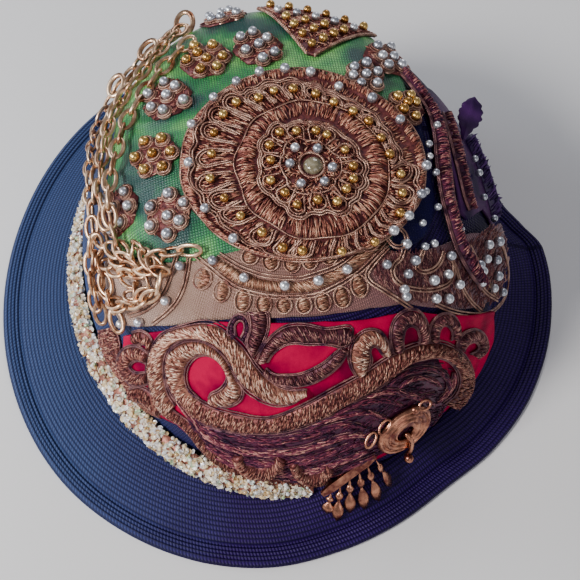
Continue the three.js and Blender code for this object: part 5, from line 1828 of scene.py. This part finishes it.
EYELET_OUTER = [
    (230, 341), (228, 332), (230, 323), (235, 316), (241, 314), (247, 318), (250, 326), (249, 335),
    (245, 343),
]
EYELET_INNER = [
    (236, 337), (235, 331), (235, 325), (238, 321), (241, 320), (244, 322), (245, 327), (244, 332),
    (241, 338),
]
LEAF_OUTER = [
    (257, 361), (262, 350), (268, 341), (276, 333), (286, 327), (297, 325), (310, 326), (325, 329),
    (338, 328), (348, 327), (354, 332), (353, 340),
]
LEAF_MIDDLE = [
    (267, 362), (271, 355), (277, 349), (285, 344), (295, 342), (307, 343), (320, 343), (332, 344),
    (341, 346), (347, 345), (350, 342), (351, 338),
]
LEAF_LOWER_IN = [
    (266, 368), (274, 374), (286, 375), (300, 374), (313, 369), (325, 362), (334, 354), (342, 347),
]
LEAF_LOWER_OUT = [
    (263, 372), (272, 381), (286, 385), (301, 385), (315, 381), (329, 373), (340, 363), (348, 350),
]
CURLS = {
    "curl_1": (
        [
            (357, 376), (352, 367), (350, 356), (352, 345), (357, 337), (365, 331), (374, 330),
            (382, 334), (387, 342), (390, 352),
        ],
        [
            (366, 371), (369, 365), (370, 358), (369, 351), (371, 346), (375, 345), (378, 347),
            (380, 350), (382, 353), (385, 356),
        ],
    ),
    "curl_2": (
        [
            (394, 353), (391, 342), (391, 331), (394, 321), (400, 314), (408, 310), (417, 311),
            (424, 318), (428, 328), (428, 340),
        ],
        [
            (403, 349), (402, 341), (403, 333), (405, 328), (409, 325), (413, 325), (417, 328),
            (419, 333), (420, 338), (419, 344),
        ],
    ),
    "curl_3": (
        [
            (430, 342), (429, 331), (433, 321), (440, 315), (448, 314), (455, 318), (459, 326),
            (460, 336),
        ],
        [
            (438, 342), (438, 334), (440, 328), (443, 325), (447, 325), (450, 328), (452, 333),
            (451, 340),
        ],
    ),
    "curl_4": (
        [
            (456, 347), (459, 338), (466, 332), (475, 330), (483, 334), (487, 342), (485, 351),
            (478, 358),
        ],
        [
            (463, 351), (466, 345), (470, 342), (474, 341), (477, 343), (478, 347), (475, 351),
            (470, 354),
        ],
    ),
    "left_curl": (
        [
            (148, 353), (139, 347), (129, 347), (121, 353), (118, 363), (121, 373), (128, 381),
            (138, 385), (148, 383),
        ],
        [
            (147, 363), (141, 360), (135, 360), (131, 363), (130, 367), (133, 371), (138, 373),
            (143, 373), (147, 372),
        ],
    ),
    "left_low_curl": (
        [(130, 389), (139, 387), (148, 390), (155, 397), (160, 406)],
        [(132, 400), (140, 401), (147, 405), (153, 410), (158, 415)],
    ),
    "left_high_curl": (
        [(133, 333), (141, 331), (149, 335), (153, 342)],
        [(137, 345), (142, 343), (147, 345), (150, 351)],
    ),
    "bottom_curl_1": (
        [(232, 455), (238, 466), (248, 474), (261, 477), (274, 475), (283, 468), (287, 459)],
        [(243, 454), (248, 461), (255, 465), (263, 466), (270, 464), (274, 459), (276, 453)],
    ),
    "bottom_curl_2": (
        [(288, 462), (293, 473), (303, 480), (315, 482), (326, 478), (334, 469)],
        [(298, 460), (302, 467), (308, 471), (315, 471), (321, 468), (325, 462)],
    ),
}
LEFT_CURLS = ("left_curl", "left_low_curl", "left_high_curl")
LOW_CURLS = ("bottom_curl_1", "bottom_curl_2")
VERGE_OUTER = [(99, 330), (101, 352), (108, 374), (120, 393), (136, 406), (152, 414), (162, 418)]
VERGE_INNER = [(116, 326), (121, 345), (121, 362), (125, 378), (136, 390), (150, 400), (164, 410)]
HEM_OUTER = [
    (150, 396), (157, 408), (167, 417), (179, 424), (190, 435), (199, 447), (212, 460), (228, 471),
    (246, 480), (266, 486), (290, 490), (312, 490), (334, 484),
]
HEM_INNER = [
    (163, 394), (168, 403), (176, 411), (188, 420), (199, 432), (208, 444), (220, 454), (235, 463),
    (252, 471), (270, 477), (291, 480), (310, 480), (328, 475),
]
PLUME_UPPER = [
    (186, 407), (200, 420), (228, 430), (262, 433), (297, 428), (326, 417), (354, 401), (382, 384),
    (404, 366), (430, 359), (450, 364), (457, 378), (452, 394), (440, 406),
]
PLUME_LOWER = [
    (192, 432), (212, 452), (236, 466), (262, 477), (294, 482), (326, 477), (350, 468), (374, 458),
    (394, 449), (410, 441), (422, 432), (432, 424), (438, 417), (443, 411),
]
FEATHERS = named("line half", [
    ([(178, 400), (186, 410), (196, 422), (206, 433), (222, 442)], 2.6),
    ([(202, 425), (222, 433), (246, 438), (272, 440), (298, 436), (322, 429), (345, 423), (366, 426)], 4.2),
    ([(204, 434), (222, 443), (246, 450), (272, 452), (300, 449), (326, 441), (350, 434), (368, 434)], 4.2),
    ([(206, 444), (226, 454), (250, 461), (276, 463), (304, 460), (330, 452), (354, 443), (370, 442)], 4.4),
    ([(216, 455), (238, 465), (262, 471), (290, 472), (318, 468), (344, 459), (368, 449)], 4.2),
    ([(290, 479), (314, 477), (338, 470), (360, 461), (376, 453)], 3.6),
    ([(308, 427), (330, 418), (350, 413), (370, 412), (388, 418)], 3.2),
    ([(334, 413), (352, 405), (370, 400), (388, 400), (402, 405)], 3.6),
    ([(366, 396), (384, 391), (402, 392), (420, 398), (434, 404)], 3.4),
    ([(386, 386), (395, 377), (408, 371), (424, 368), (438, 371), (447, 379), (447, 390)], 3.4),
    ([(398, 387), (408, 380), (422, 377), (434, 380), (440, 386)], 2.6),
    ([(390, 389), (404, 394), (420, 396), (436, 392)], 2.8),
    ([(436, 401), (446, 392), (452, 382), (453, 372)], 2.8),
])


def scroll_piece(name, bands, look, *nodes, cover=1.2):
    """A scroll: padded bands of stitches, less of them where cover is low"""
    form = Form()
    for band in bands:
        stitch_ribbon(form, band, cover=cover)
    ridden(form.build(name, look), "metal_thread", *nodes)


def scroll_pieces():
    spiral = [pixel_ribbon(SPIRAL_OUTER, SPIRAL_GROOVE, 2.2), pixel_ribbon(RING_OUTER, RING_INNER, 1.9)]
    stem = [pixel_ribbon(STEM_UPPER, STEM_LOWER, 2.2, count=170)]
    leaf = [pixel_ribbon(LEAF_OUTER, LEAF_MIDDLE, 2.0), pixel_ribbon(LEAF_LOWER_IN, LEAF_LOWER_OUT, 1.7)]
    crest = [pixel_ribbon(CREST_INNER, CREST_OUTER, 1.8)]
    curls = {
        name: pixel_ribbon(*edges, 3.0 if name in LOW_CURLS else 1.8, count=60)
        for name, edges in CURLS.items()
    }
    hem = [pixel_ribbon(HEM_INNER, HEM_OUTER, 1.3)]
    first = curls.pop("curl_1")
    scroll_piece("scroll_spiral_stitches", spiral, GOLD_LOOK, "scroll_spiral")
    scroll_piece("scroll_stem_stitches", stem, COPPER_LOOK, "scroll_stem")
    scroll_piece("scroll_leaf_stitches", leaf + crest, SHADED_COPPER_LOOK, "scroll_leaf")
    scroll_piece("scroll_crescent_stitches", [first], GOLD_LOOK, "scroll_crescent")
    left = [curls.pop(name) for name in LEFT_CURLS + LOW_CURLS]
    scroll_piece("scroll_curl_stitches", list(curls.values()), SHADED_COPPER_LOOK, "scroll_curl")
    verge = [pixel_ribbon(VERGE_OUTER, VERGE_INNER, 0.9, lift=0.5)]
    scroll_piece("hem_stitches", left + hem + verge, COPPER_LOOK, cover=0.95)
    outlines = Form()
    for band in spiral + stem + leaf + crest + [first] + left + list(curls.values()):
        edge_ribbon(outlines, band, double=True)
    for band in hem + verge:
        edge_ribbon(outlines, band)
    edge_ribbon(outlines, pixel_ribbon(EYELET_OUTER, EYELET_INNER, 0.3, count=50), double=True)
    ridden(outlines.build("scroll_outlines", OUTLINE_LOOK), "metal_thread")


def plume_pieces():
    """The dark plumes under the stem: feather over feather on a ground of plum stitches, kept near black as
    painted shade in the gaps between the feathers
    """
    ground = Form()
    under = pixel_ribbon(PLUME_UPPER, PLUME_LOWER, 0.35)
    # Painted shade: the ground's stitches take only the darkest tones, so that the gaps between the feathers
    # read as shade
    stitch_ribbon(ground, under, stitch=3.4, cover=0.45, slant=1.0, tones=(0.0, 0.3), runs="along")
    eyelet = pixel_ribbon(EYELET_OUTER, EYELET_INNER, 0.3, count=50)
    stitch_ribbon(ground, eyelet, stitch=2.0, tones=(0.0, 0.3))
    ridden(ground.build("plume_ground", PLUM_LOOK), "metal_thread")
    plumes, veins = Form(), Form()
    for number, feather in enumerate(FEATHERS):
        band = pixel_ribbon(*beside(feather["line"], feather["half"] * 0.9), 1.1, count=70)
        tones = (0.0, 0.7) if number % 2 else (0.25, 1.0)
        stitch_ribbon(plumes, band, stitch=4.6, thick=0.22, cover=1.7, slant=0.9, tones=tones, runs="along")
        edge_ribbon(veins, band, thick=0.26)
    ridden(plumes.build("plume_feathers", PLUM_LOOK), "metal_thread")
    ridden(veins.build("plume_veins", OUTLINE_LOOK), "metal_thread")


SIDE_BAND_HEIGHT = 3
SIDE_BAND_1 = named("angle share half lift", [
    (26, 0.625, 2, 2.1), (15, 0.613, 2.4, 2.1), (6, 0.6, 2.6, 2.1), (-4, 0.602, 2.8, 2.1),
    (-15, 0.603, 3, 2.1), (-25, 0.586, 3, 2.2), (-31, 0.553, 3, 2.4), (-35, 0.508, 3, 2.8),
    (-35.5, 0.444, 3, 2.9), (-34, 0.351, 2.2, 3.1),
])
SIDE_BAND_2 = named("angle share half lift", [
    (8, 0.54, 1.8, 2.1), (2, 0.547, 2.4, 2.1), (-5, 0.545, 2.8, 2.1), (-12, 0.535, 2.8, 2.1),
    (-19, 0.51, 2.8, 2.1), (-22, 0.484, 2, 2.1),
])
SIDE_TRIM_HEIGHT = 4
SIDE_PEARLS = [
    (435, 127), (427, 146), (428, 158), (420, 163), (434, 174), (424, 193), (472, 160), (476, 174),
    (481, 198), (491, 219), (458, 230), (432, 244), (423, 247), (421, 224), (436, 208),
]
SIDE_TRIM = named("angle share half lift", [
    (7, 0.425, 1.8, 2.1), (3, 0.4, 2.2, 2.1), (-1, 0.37, 2.4, 2.1), (-5, 0.338, 2.4, 2.1),
    (-8, 0.305, 2.2, 2.1), (-10, 0.285, 1.8, 2.1),
])
# What the columns of a strip's table count for when its places are spaced evenly
STRIP_WEIGHTS = np.array([1, 100, 3, 3])


def table_ribbon(table, height, count=120):
    """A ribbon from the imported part's own table of a strip"""
    rows = np.array([list(row.values()) for row in table])
    angle, share, half, lift = (through(rows * STRIP_WEIGHTS, count) / STRIP_WEIGHTS).T
    centre = crown_surface(angle, share)
    side = unit(np.cross(crown_normal(angle, share), np.gradient(centre, axis=0)))
    return Ribbon(centre + side * half[:, None], centre - side * half[:, None], lift, height)


def side_pieces():
    edging = Form()
    for name, table in [("side_band_1", SIDE_BAND_1), ("side_band_2", SIDE_BAND_2)]:
        form = Form()
        band = table_ribbon(table, SIDE_BAND_HEIGHT - 0.6)
        stitch_ribbon(form, band)
        ridden(form.build(f"{name}_stitches", PLUM_LOOK), "metal_thread", name)
        edge_ribbon(edging, band, thick=0.5, double=True)
    ridden(edging.build("side_edging", OUTLINE_LOOK), "metal_thread")
    fringe = Form()
    band = table_ribbon(SIDE_TRIM, SIDE_TRIM_HEIGHT - 0.8)
    stitch_ribbon(fringe, band, stitch=4.2, thick=0.5, cover=1.6, slant=0.9)
    add_petals(fringe, band)
    ridden(fringe.build("side_fringe", PURPLE_THREAD_LOOK), "purple_velvet", "side_trim")
    pearls = Form()
    points, normals = seen(SIDE_PEARLS, ON_CLOTH + 0.6)
    add_beads(pearls, points, normals, 1.5)
    ridden(pearls.build("side_pearls", SILVER_BEAD_LOOK), "metal_thread")


def add_petals(form, band, count=26):
    """Small leaves of cloth that stand out of the fringe"""
    along = np.linspace(1, band.length - 1, count)
    points, normals = band.place(along, rng.uniform(0.1, 0.9, count), -0.6)
    petal = np.array([(0, 0, 0), (0.8, 0.25, 1.3), (0, 0.35, 2.9), (-0.8, 0.25, 1.3), (0, -0.35, 1.3)])
    faces = [[0, 1, 4], [1, 2, 4], [2, 3, 4], [3, 0, 4], [1, 0, 3], [1, 3, 2]]
    lean = unit(normals + rng.normal(0, 0.4, (count, 3)))
    frames = frames_on(lean, rng.uniform(0, 6, count))
    size, tones = rng.uniform(0.7, 1.15, count), rng.uniform(0.2, 1, count)
    add_copies(form, petal, faces, points, frames, size, tones)


# Corner patch
CORNER_TIP = np.array([13, 31])
CORNER_LEFT = np.array([-2, 73])
CORNER_RIGHT = np.array([42, 52])
CORNER_THICK = 1.3
CORNER_STITCHES = 900
CORNER_GRID = 22
CORNER_BEAD_ROWS = 6
CORNER_SILVER_ROW = 4
CORNER_WIRES = 4


def corner_place(down, across, lift):
    side = 0.06 + 0.94 * down
    end = CORNER_LEFT + (CORNER_RIGHT - CORNER_LEFT) * across[..., None]
    plan = CORNER_TIP + side[..., None] * (end - CORNER_TIP)
    angle, share = over_crown(plan[..., 0], plan[..., 1])
    return on_crown(angle, share, lift), crown_normal(angle, share)


def on_corner(down, across, above):
    return corner_place(down, across, ON_CLOTH + CORNER_THICK + above)


def corner_piece():
    part = np.linspace(0, 1, CORNER_GRID)
    down, across = np.meshgrid(part, part, indexing="ij")
    upper, _ = corner_place(down, across, ON_CLOTH + CORNER_THICK)
    lower, _ = corner_place(down, across, ON_CLOTH)
    form = Form()
    add_slab(form, upper, lower, np.stack([across * 50, down * 50], axis=-1), 0.1)
    count = CORNER_STITCHES
    at_down, at_across = np.sqrt(rng.uniform(0.02, 0.9, count)), rng.uniform(0.04, 0.96, count)
    half_down, half_across = rng.uniform(-0.025, 0.025, count), 0.022 * rng.choice([-1, 1], count)
    lay_stitches(form, on_corner, at_down, at_across, half_down, half_across, 0.27)
    ridden(form.build("corner_stitches", COPPER_LOOK), "metal_thread", "corner_patch")
    edge = Form()
    line = np.linspace(0, 1, 60)
    for down_at, across_at in [(line, 0 * line), (line, 0 * line + 1), (0 * line + 1, line)]:
        points, normals = corner_place(down_at, across_at, ON_CLOTH + 0.9)
        add_cord(edge, points, normals, 0.75, 2.4)
    for row in range(1, CORNER_WIRES + 1):
        along = np.linspace(0.06, 0.94, 40)
        points, normals = corner_place(0 * along + row * 0.2 + 0.03, along, ON_CLOTH + CORNER_THICK + 0.4)
        add_thread(edge, points, normals, 0.36, 6)
    ridden(edge.build("corner_edging", WIRE_LOOK), "metal_thread")
    gold, silver = Form(), Form()
    for row in range(CORNER_BEAD_ROWS):
        across_at = (np.arange(row + 1) + 0.5) / (row + 1)
        down_at = np.full(row + 1, 0.14 + 0.155 * row)
        points, normals = corner_place(down_at, across_at, ON_CLOTH + CORNER_THICK)
        add_beads(silver if row == CORNER_SILVER_ROW else gold, points, normals, 1.85)
    ridden(gold.build("corner_gold_beads", GOLD_BEAD_LOOK), "metal_thread")
    ridden(silver.build("corner_silver_beads", SILVER_BEAD_LOOK), "metal_thread")


# The purple petal that stands at the right
PETAL_PLACE = {"angle": 3, "share": 0.472}
PETAL_STAND = (0.37, 0.78, 0.51)
PETAL_FACE = (0, -0.53, 0.85)
PETAL_SIDES = 32
PETAL_ROWS = 26
PETAL_SECTIONS = np.array([
    (0, 0.8, 0.5), (3.5, 2.2, 1.1), (7.5, 4.4, 1.5), (11.5, 4.6, 1.5), (15, 3.2, 1.1),
    (17.4, 0.3, 0.3),
])


def petal_piece():
    stand = unit(np.array(PETAL_STAND))
    across = unit(np.cross(stand, np.array(PETAL_FACE)))
    face = unit(np.cross(across, stand))
    root = on_crown(PETAL_PLACE["angle"], PETAL_PLACE["share"], ON_CLOTH)
    rows = through(PETAL_SECTIONS, PETAL_ROWS)
    turn = np.radians(full_turn(PETAL_SIDES))
    up, wide, deep = (rows[:, k][:, None] for k in range(3))
    crinkle = 1 + 0.10 * np.sin(turn * 3 + up * 2.2)
    vein = 0.3 * np.exp(-(np.cos(turn) * wide / 0.7) ** 2)
    side = wide * np.cos(turn) * crinkle
    over = (deep * 0.8 + vein) * np.sin(turn) + 0.05 * side ** 2 - 0.4
    points = root + up[..., None] * stand + side[..., None] * across + over[..., None] * face
    form = Form()
    faces = grid_faces(len(rows), PETAL_SIDES, closed_columns=True)
    form.add(points, faces, together(side, up), ends=tube_ends(len(rows), PETAL_SIDES))
    return ridden(form.build("petal_velvet", PURPLE_LOOK), "purple_velvet", "side_petal")


# Brooch: a ridged disc round a pierced hole, its rings, bar and drops
DISC_PLACE = {"angle": 290.3, "share": 0.175, "lift": 2.5}
DISC_RADIUS = 12
DISC_HOLE = {"radius": 3.7, "up": -1.5}
DISC_SIDES = 72
DISC_ROWS = 44
DISC_NICKS = 36
PEG_PLACES = 14
DISC_PROFILE = np.array([
    (0, 1.4), (4.6, 1.3), (5.3, 1.9), (6.0, 2.3), (6.7, 1.9), (7.3, 1.2), (8.0, 1.9), (8.7, 2.2),
    (9.4, 1.7), (9.9, 1.0), (10.5, 1.7), (11.1, 1.9), (11.6, 1.5), (12, 0.7),
])
PEG_LINE = np.array([(0, -1.2, 1.0), (0.4, -2.6, 3.2), (1.2, -6, 3.4), (0.8, -11, 3.2), (-0.6, -15, 2.2)])
JUMP_RINGS = named("x y long wide lean", [
    (385, 427, 3.1, 1.6, 56), (371, 440, 3.1, 1.5, 62), (425, 405, 2.4, 1.6, 35),
])
DISC_BEAD = (412, 407)


def disc_axes():
    angle, share = DISC_PLACE["angle"], DISC_PLACE["share"]
    normal = crown_normal(angle, share)
    right = unit(np.cross([0, 0, 1.0], normal))
    return on_crown(angle, share, DISC_PLACE["lift"]), right, np.cross(normal, right), normal


def disc_piece():
    """The disc from its hole to its edge and round its back, and the peg with its ball"""
    centre, right, up, normal = disc_axes()
    turn = np.radians(full_turn(DISC_SIDES))
    hole_x = DISC_HOLE["radius"] * np.cos(turn)
    hole_y = DISC_HOLE["radius"] * np.sin(turn) + DISC_HOLE["up"]
    part = np.linspace(0, 1, DISC_ROWS)[:, None]
    x = hole_x + part * (DISC_RADIUS * np.cos(turn) - hole_x)
    y = hole_y + part * (DISC_RADIUS * np.sin(turn) - hole_y)
    reach = np.hypot(x, y)
    height = np.interp(reach, DISC_PROFILE[:, 0], DISC_PROFILE[:, 1])
    nicks = 0.12 * np.sin(turn * DISC_NICKS) * (reach > 10.2)
    top = centre + x[..., None] * right + y[..., None] * up + (height + nicks)[..., None] * normal
    back = centre + x[::-1][..., None] * right + y[::-1][..., None] * up
    rings = np.concatenate([top, back])
    form = Form()
    form.add(rings, grid_faces(len(rings), DISC_SIDES, closed_rows=True, closed_columns=True), tone=0.5)
    line = through(PEG_LINE, PEG_PLACES)
    path = centre + line[:, :1] * right + line[:, 1:2] * up + line[:, 2:] * normal
    add_thread(form, path, np.tile(right, (PEG_PLACES, 1)), 1.0, 10)
    add_beads(form, path[-1:], normal[None], 2.1)
    return ridden(form.build("brooch_plate", BRASS_LOOK), "brass", "brooch_disc")


def brooch_rings():
    """The loose rings beside the disc, which face the viewer, and the bead at its top"""
    form = Form()
    right, up, back, _ = view_axes()
    for row in JUMP_RINGS:
        point, _ = seen([(row["x"], row["y"])], 5.0)
        lean = math.radians(row["lean"])
        along = right * math.cos(lean) + up * math.sin(lean)
        add_link(form, point[0], along, np.cross(back, along), back, row["long"], row["wide"], 0.55)
    points, normals = seen([DISC_BEAD], 2.2)
    add_beads(form, points, normals, 2.1)
    return ridden(form.build("brooch_links", BRASS_LOOK), "brass")


# A drop from its leaf's tip to its ring: share of the length, share of the half width
DROP_SHAPE = np.array([
    (0, 0.04), (0.05, 0.34), (0.14, 0.78), (0.26, 1), (0.38, 0.86), (0.5, 0.5), (0.57, 0.24),
    (0.61, 0.24), (0.66, 0.5), (0.73, 0.66), (0.8, 0.5), (0.85, 0.22), (0.92, 0.17), (1, 0.1),
])
DROP_ROWS = 34
DROP_SIDES = 20


def drop_piece(name):
    """A leaf and a ball, as long and wide as the solid that they stand for"""
    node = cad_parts[name]
    corners = np.array([node.matrix_world @ corner.co for corner in node.data.vertices]) / MM
    middle = corners.mean(axis=0)
    _, axes = np.linalg.eigh(np.cov((corners - middle).T))
    thin, wide, long = axes.T
    long = long * (1 if long[2] > 0 else -1)
    thin = np.cross(long, wide)
    reach, half_wide, half_thin = ((corners - middle) @ axis for axis in (long, wide, thin))
    rows = through(DROP_SHAPE, DROP_ROWS)
    along = reach.min() + rows[:, 0] * (reach.max() - reach.min())
    leaf = np.clip((0.62 - rows[:, 0]) / 0.05, 0, 1)
    half_wide = np.abs(half_wide).max() * rows[:, 1]
    half_thin = np.abs(half_thin).max() * rows[:, 1] * (1 - 0.3 * leaf)
    turn = np.radians(full_turn(DROP_SIDES))
    points = (middle + along[:, None, None] * long
              + (half_wide[:, None] * np.cos(turn))[..., None] * wide
              + (half_thin[:, None] * np.sin(turn))[..., None] * thin)
    form = Form()
    faces = grid_faces(DROP_ROWS, DROP_SIDES, closed_columns=True)
    flat = np.zeros((DROP_ROWS * DROP_SIDES, 2))
    form.add(points, faces, flat, rng.uniform(0, 1), tube_ends(DROP_ROWS, DROP_SIDES))
    return ridden(form.build(f"leaf_{name}", BRASS_LOOK), "brass", name)


DROP_COUNT = 6


def drop_pieces():
    for number in range(1, DROP_COUNT + 1):
        drop_piece(f"drop_{number}")


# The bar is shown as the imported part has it, with its finish
def finish_nodes():
    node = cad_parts["brooch_bar"]
    node.data.materials.clear()
    node.data.materials.append(BRASS_LOOK)


# Floor, lights and camera
def plain_material(name, colour, rough):
    nodes = Nodes(name, Roughness=rough)
    speck = nodes.noise(nodes.solid(), 6, 2)
    nodes.set("Base Color", nodes.ramp(speck, [(0.3, colour), (0.7, tuple(c * 1.02 for c in colour))]))
    return nodes.material


FLOOR_HALF = 6
FLOOR_GREY = (0.78, 0.78, 0.78)
SENSOR = 36
LAMPS = named("name place aim size power colour", [
    ("key", (-0.75, -0.35, 0.8), (0, 0, 0.05), 0.32, 13.0, (1.0, 0.97, 0.95)),
    ("left_sky", (-0.9, 0.35, 0.35), (-0.05, 0, 0.03), 0.6, 4.5, (0.82, 0.90, 1.0)),
    ("front_fill", (0.35, -0.95, 0.6), (0, 0, 0.05), 0.8, 2.2, (1.0, 0.95, 0.96)),
    ("back_rim", (0.4, 0.9, 0.7), (0, 0, 0.06), 0.5, 3.0, (0.95, 0.93, 1.0)),
])


def stage():
    mesh = bpy.data.meshes.new("floor")
    corners = [(x * FLOOR_HALF, y * FLOOR_HALF, 0) for x, y in [(-1, -1), (1, -1), (1, 1), (-1, 1)]]
    mesh.from_pydata(corners, [], [(0, 1, 2, 3)])
    mesh.materials.append(plain_material("floor_paper", FLOOR_GREY, 0.9))
    floor = bpy.data.objects.new("floor", mesh)
    bpy.context.scene.collection.objects.link(floor)


def area_light(name, place, aim, size, power, colour):
    lamp = bpy.data.lights.new(name, "AREA")
    lamp.shape = "DISK"
    lamp.size = size
    lamp.energy = power
    lamp.color = colour
    holder = bpy.data.objects.new(name, lamp)
    holder.location = place
    holder.rotation_euler = (Vector(aim) - Vector(place)).to_track_quat("-Z", "Y").to_euler()
    bpy.context.scene.collection.objects.link(holder)


def lights():
    for row in LAMPS:
        area_light(**row)
    world = bpy.data.worlds.new("studio")
    world.use_nodes = True
    world.node_tree.nodes["Background"].inputs["Color"].default_value = (0.9, 0.92, 1.0, 1)
    world.node_tree.nodes["Background"].inputs["Strength"].default_value = 0.24
    bpy.context.scene.world = world


def camera():
    """The photograph's camera"""
    right, up, back, eye = view_axes()
    lens = bpy.data.cameras.new("photo_camera")
    lens.sensor_width = SENSOR
    lens.lens = SENSOR * VIEW_FOCAL / PHOTO_SIZE
    lens.clip_start = 0.01
    holder = bpy.data.objects.new("photo_camera", lens)
    turned = Matrix([[*r] for r in np.stack([right, up, back], axis=1)])
    holder.matrix_world = Matrix.Translation(Vector(eye * MM)) @ turned.to_4x4()
    bpy.context.scene.collection.objects.link(holder)
    bpy.context.scene.camera = holder


camera()
lights()
stage()
crown_piece()
brim_piece()
green_piece()
gold_band_piece()
band_pads()
bump_piece()
band_trims()
front_piece()
side_piece()
medallion_ground()
medallion_stitches()
medallion_wires()
medallion_beads()
stone_piece()
flowers()
chain_pieces()
trim_pieces()
scroll_pieces()
plume_pieces()
side_pieces()
corner_piece()
petal_piece()
disc_piece()
brooch_rings()
drop_pieces()
finish_nodes()
